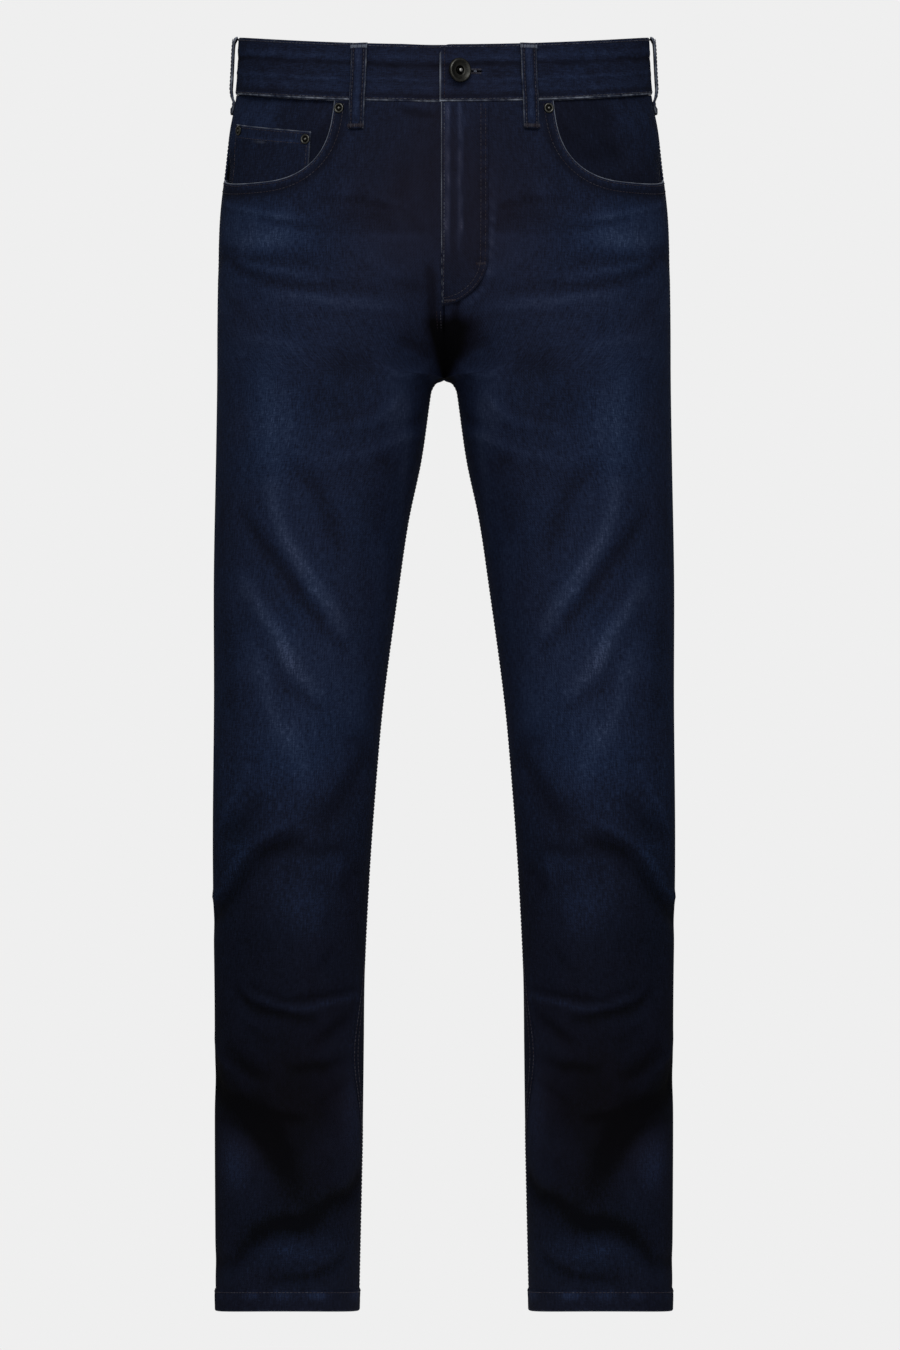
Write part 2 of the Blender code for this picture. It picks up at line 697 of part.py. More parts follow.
def rivets(parts, root):
    """One at the top of each scoop and two on the coin pocket's hem."""
    corner_t = SCOOP_T - RIVET_FROM_SCOOP_T
    corner_z = waist_seam(corner_t) - RIVET_BELOW_SEAM
    rivet(Rivet("rivet_pocket_right", RIGHT, corner_t, corner_z, 0.0), parts, root)
    rivet(Rivet("rivet_pocket_left", LEFT, corner_t, corner_z, 0.0), parts, root)
    inner_t = COIN_INNER_T + RIVET_INSIDE_COIN_T[0]
    outer_t = COIN_OUTER_T - RIVET_INSIDE_COIN_T[1]
    coin_corners = (("inner", inner_t, COIN_INNER_Z), ("outer", outer_t, COIN_OUTER_Z))
    for word, t, hem_z in coin_corners:
        z = hem_z - RIVET_BELOW_COIN_HEM
        level = facing_level(RIGHT, t, z) + LYING_GAP + COIN_CLOTH
        rivet(Rivet("rivet_coin_" + word, RIGHT, t, z, level), parts, root)


def new_collection(name):
    collection = bpy.data.collections.new(name)
    bpy.context.scene.collection.children.link(collection)
    return collection


def back_edge(share):
    """t and height along the back panel's top edge."""
    t = mix(0.5, 1.0, share)
    return t, yoke_seam(t)


def main():
    for obj in list(bpy.data.objects):
        bpy.data.objects.remove(obj)
    parts = new_collection("jeans")
    cutters = new_collection("cutters")
    root = bpy.data.objects.new("waist", None)
    parts.objects.link(root)

    for side in (RIGHT, LEFT):
        word = SIDE_NAMES[side]
        panel("front_" + word, side, 0.0, 0.5, FRONT_COLUMNS, scoop_edge, parts, root)
        panel("back_" + word, side, 0.5, 1.0, BACK_COLUMNS, back_edge, parts, root)
        yoke(side, parts, root)
        back_pocket(side, parts, root)
        pocket_facing(side, parts, root)
    coin_pocket(parts, root)
    fly_strip(parts, root)
    waistband(parts, cutters, root)
    for loop in LOOPS:
        belt_loop(loop, parts, root)
    fly_button(parts, root)
    rivets(parts, root)


main()
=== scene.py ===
import math
from collections import namedtuple

import bpy
import numpy as np
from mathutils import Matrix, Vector


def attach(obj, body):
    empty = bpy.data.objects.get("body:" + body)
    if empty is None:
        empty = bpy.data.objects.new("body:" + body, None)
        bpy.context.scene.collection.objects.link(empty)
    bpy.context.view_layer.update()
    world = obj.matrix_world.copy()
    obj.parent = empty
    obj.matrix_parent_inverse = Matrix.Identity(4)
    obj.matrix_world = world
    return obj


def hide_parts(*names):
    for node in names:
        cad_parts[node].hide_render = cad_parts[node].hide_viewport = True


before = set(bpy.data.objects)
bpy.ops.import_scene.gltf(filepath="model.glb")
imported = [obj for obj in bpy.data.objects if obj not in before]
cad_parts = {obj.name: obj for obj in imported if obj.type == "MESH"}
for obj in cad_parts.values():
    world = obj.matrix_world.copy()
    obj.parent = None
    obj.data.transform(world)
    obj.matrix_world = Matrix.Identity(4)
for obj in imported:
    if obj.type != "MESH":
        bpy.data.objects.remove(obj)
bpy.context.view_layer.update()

# ---- Studio ----
# The jeans hang filled out in front of a plain pale ground, seen square on from the front by a long
# lens, in plain soft light that comes mostly from above and in front.
CAMERA_PLACE = (0.005, -3.2, -0.502)
LONG_SIDE_MM = 36.0
LENS_MM = 102.8
GROUND_GREY = "#efefef"
LAMPS = (
    # name, place, aimed at, width, height, watts
    ("key", (0.0, -2.3, 1.5), (0.0, 0.0, -0.45), 2.2, 1.2, 24.0),
    ("fill", (0.0, -3.6, -0.6), (0.0, 0.0, -0.55), 2.4, 2.0, 13.0),
    ("back", (0.0, 2.6, 1.0), (0.0, 0.0, -0.5), 2.6, 1.6, 20.0),
)
ROOM_LIGHT = 0.13
FLOOR_Z = -1.16
FLOOR_RADIUS = 0.55
FLOOR_FADE = (0.12, 0.54)
FLOOR_SHADING = 0.25

scene = bpy.context.scene
scene.view_settings.view_transform = "Standard"
scene.view_settings.look = "None"


def linear(hex_colour):
    """An sRGB hex colour as linear red, green, blue and alpha."""
    parts = [int(hex_colour[i : i + 2], 16) / 255 for i in (1, 3, 5)]
    parts = [c / 12.92 if c <= 0.04045 else ((c + 0.055) / 1.055) ** 2.4 for c in parts]
    return (*parts, 1.0)


def add_node(tree, kind, inputs=None, output=0, **settings):
    """A new node's output; inputs takes values, or outputs to link, by name or number."""
    node = tree.nodes.new(kind)
    for name, value in settings.items():
        setattr(node, name, value)
    for name, value in (inputs or {}).items():
        if isinstance(value, bpy.types.NodeSocket):
            tree.links.new(value, node.inputs[name])
        else:
            node.inputs[name].default_value = value
    return node.outputs[output] if node.outputs else None


def cleared(owner):
    """The emptied node tree of a material or world."""
    owner.use_nodes = True
    owner.node_tree.nodes.clear()
    return owner.node_tree


def link_object(name, data):
    obj = bpy.data.objects.new(name, data)
    scene.collection.objects.link(obj)
    return obj


camera_data = bpy.data.cameras.new("photo_camera")
camera_data.sensor_width = LONG_SIDE_MM
camera_data.lens = LENS_MM
camera = link_object("photo_camera", camera_data)
camera.location = CAMERA_PLACE
camera.rotation_euler = (math.pi / 2, 0.0, 0.0)
scene.camera = camera

for name, place, target, width, height, watts in LAMPS:
    lamp_data = bpy.data.lights.new(name + "_softbox", "AREA")
    lamp_data.shape = "RECTANGLE"
    lamp_data.size = width
    lamp_data.size_y = height
    lamp_data.energy = watts
    lamp = link_object(name + "_softbox", lamp_data)
    lamp.location = place
    lamp.rotation_mode = "QUATERNION"
    lamp.rotation_quaternion = (Vector(target) - Vector(place)).to_track_quat("-Z", "Y")
    lamp.visible_camera = False

world = bpy.data.worlds.new("pale_studio")
tree = cleared(world)
pale = {"Color": linear(GROUND_GREY)}
seen = add_node(tree, "ShaderNodeBackground", pale)
lit = add_node(tree, "ShaderNodeBackground", {"Color": (1, 1, 1, 1), "Strength": ROOM_LIGHT})
to_camera = add_node(tree, "ShaderNodeLightPath", output="Is Camera Ray")
ground = add_node(tree, "ShaderNodeMixShader", {0: to_camera, 1: lit, 2: seen})
add_node(tree, "ShaderNodeOutputWorld", {"Surface": ground})
scene.world = world

# The floor is a pale painted disc that thins out to nothing at its rim, so it meets the ground unseen.
bpy.ops.mesh.primitive_circle_add(
    vertices=96, radius=FLOOR_RADIUS, fill_type="TRIFAN", location=(0, 0, FLOOR_Z)
)
floor = bpy.context.object
floor.name = "studio_floor"
paint = bpy.data.materials.new("pale_floor_paint")
tree = cleared(paint)
middle = add_node(tree, "ShaderNodeTexCoord", output="Object")
spread = add_node(tree, "ShaderNodeVectorMath", {0: middle}, "Value", operation="LENGTH")
thinning = {"Value": spread, "From Min": FLOOR_FADE[0], "From Max": FLOOR_FADE[1]}
thinned = add_node(tree, "ShaderNodeMapRange", thinning, interpolation_type="SMOOTHSTEP")
shaded = add_node(tree, "ShaderNodeBsdfDiffuse", pale)
glowing = add_node(tree, "ShaderNodeEmission", pale)
matt = add_node(tree, "ShaderNodeMixShader", {0: FLOOR_SHADING, 1: glowing, 2: shaded})
clear = add_node(tree, "ShaderNodeBsdfTransparent")
blended = add_node(tree, "ShaderNodeMixShader", {0: thinned, 1: matt, 2: clear})
add_node(tree, "ShaderNodeOutputMaterial", {"Surface": blended})
floor.data.materials.append(paint)

# ---- Front panels ----
# Two long pieces of stretch denim, cut from the waist seam to the hem, with the front pocket scooped
# out of each. They are bent on to one worn form, which every other piece shares, and carry the
# whiskers, the knee creases and the folds stacked above the hem.
WAISTBAND_HEIGHT = 0.0475
TOP_FRONT_Z = 0.0065
TOP_SIDE_Z = 0.0270
TOP_BACK_Z = 0.033
CROTCH_Z = -0.2565
HEM_Z = -1.029
HEM_HEIGHT = 0.0175
HEM_LIFT = 0.0075
HEM_SEAM = HEM_Z + HEM_HEIGHT
HEM_LIFT_TOP_Z = -0.85
HEM_LIFT_POWER = 1.3
DENIM = 0.0015
SEAM_GAP = 0.0003
HALF_SEAM = SEAM_GAP / 2
HEM_RAISE = 0.0008
HEM_CALM = 0.3  # the share of a crease's depth that is left at the hem
HEM_CALM_REACH = 0.030
ROPING_PITCH = 0.0105  # between the slanting puckers along the hem's fold
ROPING_SLANT = 0.020
ROPING_DEPTH = 0.00022
SEAM_ROUND = (0.0022, 0.0008)  # an edge's rounding: radius and drop
FOLD_ROUND = (0.0016, 0.0006)
LAP_LEVEL = -0.0021
LAP_CLOTH = 0.0008
LAP_REACH = 0.0045  # how far a seam's under edge goes in beneath its neighbour
FORK_TOP_Z = -0.060  # from here down the one oval parts into two
FORK_POWER = 3.4
FORK_EASE = 1.9
ARCH_DEPTH = 0.012
GAP_EASE_DEPTH = 0.110
ARCH_REACH = 4
LEVEL_Z = -0.140  # from here down the panels' rows of points are level
SCOOP_T = 0.169  # where the pocket's scoop leaves the waist seam
SCOOP_FLAT_T = 0.300  # where its bend has become flat
SCOOP_Z = -0.1005  # its height there
SCOOP_SIDE_Z = -0.0910  # and its height at the side seam
SCOOP_ROUNDNESS = 2.7
SCOOP_SEAM_SHARE = 4 / 14  # the share of a front's top edge that is waist seam
SCOOP_BEND_SHARE = 0.62
FLY_WIDTH = 0.0355
FLY_BOTTOM_Z = -0.204
PRESS_TOP_Z = -0.196  # from here to the crotch the two legs' cloth presses together
PRESS_LEVEL = 0.0007
PRESS_EASE = 0.020
FORK_HEIGHT = 0.006  # over this height about the crotch a seam's lap goes from one panel to the other
SEAM_CALM = 0.15  # the share of a crease's depth that is left at a seam
SEAM_CALM_REACH = 16.0  # mm
RIGHT = -1
LEFT = 1
SIDE_NAMES = {RIGHT: "right", LEFT: "left"}

# The body seen from the front and the side: height, half width, reach to the front and to the back.
OUTLINE = (
    (0.035, 0.1690, 0.0900, 0.0870),
    (-0.020, 0.1720, 0.0960, 0.0960),
    (-0.051, 0.1775, 0.1005, 0.1045),
    (-0.081, 0.1810, 0.1035, 0.1115),
    (-0.121, 0.1855, 0.1060, 0.1190),
    (-0.161, 0.1870, 0.1065, 0.1235),
    (-0.210, 0.1878, 0.1055, 0.1225),
    (-0.260, 0.1880, 0.1025, 0.1155),
    (-0.324, 0.1890, 0.0970, 0.1045),
    (-0.423, 0.1908, 0.0880, 0.0900),
    (-0.523, 0.1907, 0.0800, 0.0770),
    (-0.647, 0.1917, 0.0700, 0.0650),
    (-0.772, 0.1902, 0.0610, 0.0660),
    (-0.896, 0.1900, 0.0570, 0.0610),
    (-1.029, 0.1892, 0.0540, 0.0550),
)

# Below the crotch: height, half the gap between the legs, and how far the inseam turns to the front.
LEGS = (
    (-0.2565, 0.0090, 0.00),
    (-0.274, 0.0116, 0.00),
    (-0.324, 0.0187, 0.02),
    (-0.373, 0.0290, 0.04),
    (-0.423, 0.0365, 0.06),
    (-0.523, 0.0500, 0.08),
    (-0.598, 0.0568, 0.09),
    (-0.672, 0.0620, 0.10),
    (-0.747, 0.0655, 0.22),
    (-0.815, 0.0664, 0.52),
    (-0.880, 0.0672, 0.20),
    (-0.921, 0.0681, 0.12),
    (-1.029, 0.0705, 0.10),
)


def mix(a, b, share):
    return a + (b - a) * share


def ease(share):
    """0 to 1, level at both ends."""
    share = np.clip(share, 0.0, 1.0)
    return share * share * (3 - 2 * share)


def hump(distance, width):
    """1 where a distance is zero, falling smoothly away to both sides."""
    return np.exp(-((distance / width) ** 2))


def read(rows, z):
    """A table's columns at the heights z, on a smooth curve through its rows, which run downwards."""
    table = np.array(rows)
    heights = table[:, 0]
    last = len(rows) - 1
    z = np.clip(z, heights[-1], heights[0])
    i = np.clip(np.searchsorted(-heights, -z, side="left") - 1, 0, last - 1)
    near = [np.clip(i + step, 0, last) for step in (-1, 0, 1, 2)]
    z0, z1, z2, z3 = (heights[k] for k in near)
    span = z2 - z1
    s = (z - z1) / span
    values = []
    for column in range(1, table.shape[1]):
        before, a, b, after = (table[k, column] for k in near)
        slope_a = (b - before) / (z2 - z0) * span
        slope_b = (after - a) / (z3 - z1) * span
        values.append(
            (2 * s**3 - 3 * s**2 + 1) * a
            + (s**3 - 2 * s**2 + s) * slope_a
            + (3 * s**2 - 2 * s**3) * b
            + (s**3 - s**2) * slope_b
        )
    return values


def form(side, t, z, out=0.0):
    """Points of the worn form, moved out along its level normal; the last axis holds x, y and z.

    t is 0 at the centre front or inseam, 0.5 at the side seam and 1 at the centre back or inseam.
    A t below 0 carries on over the centre front on to the other side.
    """
    t, z, out, side = np.broadcast_arrays(t, z, out, side)
    side = np.where(t < 0, -side, side)
    t = np.abs(t)
    half_width, front, back = read(OUTLINE, z)
    gap, turn = read(LEGS, z)
    fall = np.clip((FORK_TOP_Z - z) / (FORK_TOP_Z - CROTCH_Z), 0, 1)
    parting = 1 - (1 - fall**FORK_POWER) ** FORK_EASE
    drop = np.maximum(CROTCH_Z - z, 0.0)
    opened = gap * ease(drop / GAP_EASE_DEPTH)
    arch = gap * np.sqrt(1 - (1 - np.minimum(drop / ARCH_DEPTH, 1.0)) ** 2) - opened
    above = z > CROTCH_Z
    half = np.where(above, half_width / (1 + parting), (half_width - opened) / 2)
    centre = np.where(above, half * parting, opened + half)
    start = np.where(above, np.arccos(np.clip(parting, -1, 1)), turn)
    end = np.where(above, 2 * math.pi - start, 2 * math.pi + turn)
    angle = np.where(t < 0.5, mix(start, math.pi, 2 * t), mix(math.pi, end, 2 * t - 1))
    depth = np.where(np.sin(angle) > 0, front, back)
    across = -np.cos(angle) / half
    forward = -np.sin(angle) / depth
    length = np.hypot(across, forward)
    arch = np.where(above, 0.0, arch) * np.maximum(np.cos(angle), 0.0) ** ARCH_REACH
    x = HALF_SEAM + centre - half * np.cos(angle) + arch + across / length * out
    y = -depth * np.sin(angle) + forward / length * out
    # The hem is cut a little higher over the instep, so that it hangs level to the eye.
    lowered = ease((HEM_LIFT_TOP_Z - z) / (HEM_LIFT_TOP_Z - HEM_Z))
    lift = HEM_LIFT * np.maximum(np.sin(angle), 0.0) ** HEM_LIFT_POWER * lowered
    return np.stack([side * x, y, z + lift], axis=-1)


def outward(side, t, z):
    """The level direction out of the cloth."""
    step = form(side, t, z, 0.01) - form(side, t, z)
    return step / np.linalg.norm(step, axis=-1, keepdims=True)


# How far round the cloth each place lies from the side seam: the front is below zero.
ARC_COLUMNS = 200
ARC_T = np.linspace(0.0, 1.0, ARC_COLUMNS + 1)
ARC_Z = np.linspace(OUTLINE[0][0], HEM_Z, 267)
arc_points = form(LEFT, ARC_T[None, :], ARC_Z[:, None])
arc_steps = np.linalg.norm(np.diff(arc_points[..., :2], axis=1), axis=-1)
ARC = np.concatenate([np.zeros((len(ARC_Z), 1)), np.cumsum(arc_steps, axis=1)], axis=1)
ARC -= ARC[:, ARC_COLUMNS // 2, None]


def from_side(t, z):
    """Distance round the cloth from the side seam, less than zero to the front of it."""
    t, z = np.broadcast_arrays(np.clip(t, 0.0, 1.0), z)
    row = np.clip((ARC_Z[0] - z) / (ARC_Z[0] - ARC_Z[1]), 0, len(ARC_Z) - 1.001)
    column = np.clip(t * ARC_COLUMNS, 0, ARC_COLUMNS - 0.001)
    r = row.astype(int)
    c = column.astype(int)
    upper = mix(ARC[r, c], ARC[r, c + 1], column - c)
    lower = mix(ARC[r + 1, c], ARC[r + 1, c + 1], column - c)
    return mix(upper, lower, row - r)


def flat_place(t, z):
    """Where places lie in the cloth: distance round from the side seam, and height."""
    return np.stack(np.broadcast_arrays(from_side(t, z), z), axis=-1)


def rate_at(t, z):
    """Metres round the cloth for each unit of t."""
    return (from_side(t + 0.01, z) - from_side(t - 0.01, z)) / 0.02


def t_at(distance, z):
    """The t of a place by its distance from the side seam and its height."""
    distance, z = np.broadcast_arrays(np.asarray(distance, float), z)
    low = np.zeros(distance.shape)
    high = np.ones(distance.shape)
    for _ in range(30):
        half_way = (low + high) / 2
        beyond = from_side(half_way, z) > distance
        high = np.where(beyond, half_way, high)
        low = np.where(beyond, low, half_way)
    return (low + high) / 2


def waist_top(t):
    """Height of the waistband's top edge: low at the centre front, high at the centre back."""
    first = (TOP_FRONT_Z - TOP_BACK_Z) / 2
    level = (TOP_FRONT_Z + TOP_BACK_Z) / 4 + TOP_SIDE_Z / 2
    second = (TOP_FRONT_Z + TOP_BACK_Z) / 4 - TOP_SIDE_Z / 2
    return level + first * np.cos(math.pi * t) + second * np.cos(2 * math.pi * t)


def waist_seam(t):
    return waist_top(t) - WAISTBAND_HEIGHT


def scoop_edge(share):
    """t and height along a front panel's top edge: the waist seam, then the pocket's scoop."""
    seam_t = SCOOP_T * np.minimum(share / SCOOP_SEAM_SHARE, 1.0)
    along = (share - SCOOP_SEAM_SHARE) / (1 - SCOOP_SEAM_SHARE)
    angle = np.clip(along / SCOOP_BEND_SHARE, 0, 1) * math.pi / 2
    power = 2 / SCOOP_ROUNDNESS
    bend_t = mix(SCOOP_FLAT_T, SCOOP_T, np.maximum(np.cos(angle), 0.0) ** power)
    bend_z = mix(waist_seam(SCOOP_T), SCOOP_Z, np.sin(angle) ** power)
    flat = np.clip((along - SCOOP_BEND_SHARE) / (1 - SCOOP_BEND_SHARE), 0, 1)
    flat_t = mix(SCOOP_FLAT_T, 0.5, flat)
    flat_z = mix(SCOOP_Z, SCOOP_SIDE_Z, flat * flat)
    t = np.where(along <= 0, seam_t, np.where(along <= SCOOP_BEND_SHARE, bend_t, flat_t))
    z = np.where(along <= 0, waist_seam(seam_t), np.where(along <= SCOOP_BEND_SHARE, bend_z, flat_z))
    return t, z


# The creases of one leg, as they lie in the cloth: points of each crease's line as (distance from the
# side seam, height) in mm with the front below zero, then its half width and depth in mm, and how much
# it darkens the tone in its trough, partly as dye kept there and partly as painted shade. A depth below
# zero makes a ridge, which is worn lighter.
CREASES = (
    # whiskers across the hip and the lap
    (((-14, -112), (-52, -121), (-78, -126), (-102, -131), (-125, -134)), 2.6, -0.8, -0.13),
    (((-74, -132), (-103, -137), (-126, -141), (-147, -143), (-169, -143)), 2.6, 0.9, 0.11),
    (((-156, -147), (-181, -148), (-206, -149), (-231, -147)), 2.1, -0.4, -0.06),
    (((-155, -143), (-181, -145), (-206, -146), (-231, -144)), 2.4, 0.5, 0.05),
    (((24, -166), (-26, -152), (-63, -160), (-91, -164), (-116, -166), (-152, -173)), 4.9, 1.0, 0.09),
    (((18, -172), (-30, -160), (-54, -169), (-76, -177), (-96, -183), (-126, -189), (-163, -191),
      (-201, -194)), 3.6, 1.4, 0.13),
    (((-57, -164), (-81, -171), (-104, -175), (-125, -180), (-144, -183)), 2.9, -1.0, -0.16),
    (((-90, -193), (-119, -196), (-140, -199), (-160, -203), (-179, -204), (-200, -206),
      (-214, -208)), 3.6, -1.0, -0.14),
    (((-28, -179), (-44, -195), (-74, -208)), 4.9, 0.6, 0.07),
    (((-130, -118), (-155, -119), (-174, -122), (-195, -126)), 3.6, 0.8, 0.10),
    (((-174, -117), (-191, -121), (-206, -126)), 2.4, -0.5, -0.07),
    (((-176, -163), (-192, -174), (-208, -182)), 4.1, -0.6, -0.07),
    (((-143, -131), (-173, -134), (-202, -142)), 5.7, 0.4, 0.05),
    (((-183, -46), (-200, -50), (-217, -52)), 2.4, 0.8, 0.14),
    (((-181, -40), (-198, -43), (-216, -45)), 2.6, -0.5, -0.10),
    # creases drawn from the crotch and the inseam
    (((-227, -170), (-233, -185), (-237, -200), (-244, -217), (-259, -233)), 3.6, 2.4, 0.26),
    (((-201, -187), (-218, -191), (-232, -192)), 5.7, 1.0, 0.11),
    (((-211, -233), (-232, -235), (-258, -243)), 5.7, 1.3, 0.14),
    (((-203, -251), (-214, -259), (-229, -259), (-243, -254), (-260, -245)), 2.9, -1.2, -0.13),
    (((-163, -305), (-175, -301), (-190, -297), (-203, -291), (-213, -283),
      (-223, -273)), 3.6, -1.1, -0.12),
    (((-197, -305), (-224, -299), (-286, -286)), 4.9, 0.8, 0.06),
    (((-141, -330), (-163, -327), (-181, -324), (-205, -317), (-229, -309),
      (-296, -295)), 3.4, -0.9, -0.09),
    (((-139, -310), (-154, -308), (-169, -305)), 3.2, -0.5, -0.05),
    (((-160, -243), (-177, -249), (-193, -258)), 10.5, 0.8, 0.10),
    (((-59, -222), (-87, -229), (-111, -233), (-130, -239), (-142, -244)), 4.9, -0.7, -0.08),
    # long slanting folds above the knee
    (((-116, -330), (-135, -342), (-147, -358), (-154, -377), (-160, -401)), 7.7, 1.5, 0.15),
    (((-104, -340), (-108, -361), (-113, -381), (-121, -399), (-131, -416), (-142, -435),
      (-154, -453), (-162, -474)), 7.7, -1.9, -0.26),
    (((-71, -364), (-90, -390), (-103, -405), (-116, -421), (-126, -437), (-138, -453),
      (-151, -469), (-167, -486)), 6.5, 2.2, 0.17),
    (((-72, -418), (-85, -437), (-94, -451), (-104, -464), (-112, -478), (-117, -491),
      (-126, -506), (-142, -521)), 7.3, -2.2, -0.24),
    (((-108, -474), (-111, -485), (-116, -500)), 4.9, -0.9, -0.10),
    (((-87, -474), (-101, -496), (-112, -512), (-131, -522)), 5.3, 1.1, 0.09),
    (((-126, -523), (-136, -529), (-145, -530)), 2.6, 0.9, 0.12),
    # the folds under the knee
    (((-89, -478), (-93, -510), (-99, -532), (-110, -551), (-121, -575),
      (-128, -601)), 8.9, -0.9, -0.12),
    (((-77, -574), (-60, -598), (-48, -612), (-32, -633)), 4.1, -0.8, -0.09),
    (((-92, -597), (-76, -612), (-63, -624), (-32, -636)), 7.3, 1.4, 0.14),
    (((30, -690), (-31, -681), (-54, -660), (-69, -645), (-87, -632), (-101, -625),
      (-120, -619)), 4.1, -2.0, -0.16),
    (((40, -740), (10, -712), (-36, -691), (-55, -674), (-70, -659), (-83, -648), (-100, -640),
      (-119, -638)), 9.7, 3.4, 0.20),
    (((-75, -651), (-94, -643), (-110, -638), (-121, -638)), 4.9, 0.8, 0.10),
    (((-118, -647), (-134, -644), (-161, -643)), 3.6, 1.1, 0.10),
    (((-160, -552), (-187, -563), (-173, -584), (-160, -600), (-143, -615),
      (-129, -631)), 9.7, 2.0, 0.15),
    (((-170, -668), (-173, -660), (-161, -670), (-155, -683)), 7.3, 1.1, 0.09),
    (((-152, -646), (-150, -660), (-145, -672)), 3.2, -0.6, -0.07),
    (((-144, -723), (-128, -738), (-116, -753)), 4.9, 0.8, 0.06),
    # folds stacked on the calf
    (((-59, -753), (-76, -759), (-91, -765), (-105, -767), (-118, -765), (-136, -763),
      (-174, -760)), 3.1, 1.6, 0.12),
    (((-62, -762), (-78, -767), (-92, -771), (-105, -774), (-117, -773), (-136, -769),
      (-174, -765)), 3.4, -1.5, -0.19),
    (((-47, -756), (-64, -770), (-77, -775), (-92, -778), (-108, -781), (-126, -783)), 4.5, 2.4, 0.20),
    (((-51, -776), (-68, -785), (-80, -792)), 2.8, -0.6, -0.06),
    (((-62, -790), (-76, -798), (-87, -800)), 3.6, 0.9, 0.07),
    (((-168, -766), (-158, -779), (-134, -793), (-112, -805)), 4.5, 1.6, 0.11),
    (((-159, -794), (-131, -808), (-110, -815)), 6.5, -0.8, -0.06),
    (((-94, -823), (-113, -822), (-129, -821), (-158, -815)), 4.5, 1.6, 0.14),
    (((-35, -807), (-58, -821), (-80, -832)), 7.7, 1.6, 0.16),
    (((12, -790), (-25, -816), (-47, -826), (-69, -837)), 2.6, -0.7, -0.07),
    (((14, -806), (-30, -830), (-53, -842)), 4.9, 0.8, 0.08),
    (((-161, -832), (-138, -842), (-122, -852)), 4.1, 1.3, 0.08),
    # the deep slanting folds above the hem
    (((70, -806), (30, -820), (-32, -851), (-57, -859), (-74, -872), (-86, -889), (-96, -912),
      (-105, -942)), 13.8, 4.4, 0.30),
    (((-8, -867), (-53, -873), (-73, -890), (-88, -914)), 5.7, 1.2, 0.12),
    (((-74, -861), (-92, -862), (-113, -864)), 4.1, 1.2, 0.12),
    (((-200, -905), (-176, -915), (-155, -929), (-137, -934), (-121, -942), (-104, -953),
      (-88, -954), (-71, -961), (-55, -974), (-34, -988), (20, -985)), 8.9, 3.6, 0.27),
    (((-88, -950), (-103, -956), (-123, -948)), 5.7, 0.8, 0.10),
    (((-70, -1002), (-96, -1001), (-114, -998), (-130, -991), (-152, -976)), 4.5, 1.9, 0.16),
    # the seat and the back of the thigh
    (((214, -240), (170, -256), (120, -262), (70, -258)), 10, 1.8, 0.10),
    (((224, -268), (184, -284), (140, -294), (96, -294)), 9, 1.5, 0.10),
    (((216, -292), (176, -312), (136, -322)), 9, -1.0, -0.08),
    (((30, -300), (70, -322), (110, -330)), 10, 1.0, 0.05),
    (((150, -395), (110, -420), (66, -432)), 12, 1.0, 0.05),
    # honeycombs behind the knee
    (((16, -556), (60, -584), (110, -592), (168, -580)), 8, 2.6, 0.16),
    (((14, -590), (56, -574), (104, -560), (150, -562)), 7, 2.0, 0.12),
    (((20, -604), (70, -622), (120, -626), (172, -608)), 8, 3.0, 0.17),
    (((40, -600), (90, -607), (140, -602)), 6, -1.6, -0.17),
    (((16, -640), (66, -658), (118, -660), (166, -650)), 8, 2.6, 0.15),
    (((44, -640), (92, -644), (140, -636)), 6, -1.4, -0.16),
    (((20, -692), (72, -690), (124, -700)), 8, 1.9, 0.12),
    (((36, -572), (84, -574), (130, -574)), 5, -1.2, -0.14),
    # the back of the calf
    (((14, -752), (60, -768), (110, -770), (160, -756)), 7, 1.9, 0.12),
    (((26, -800), (76, -808), (130, -798)), 7, 1.8, 0.10),
    (((12, -846), (60, -862), (96, -892), (140, -902)), 10, 3.0, 0.15),
    (((150, -850), (110, -846), (70, -838)), 7, -1.3, -0.08),
    (((160, -930), (116, -936), (70, -960), (24, -968)), 9, 2.8, 0.14),
    (((60, -990), (100, -1000), (140, -992)), 7, 1.4, 0.08),
)
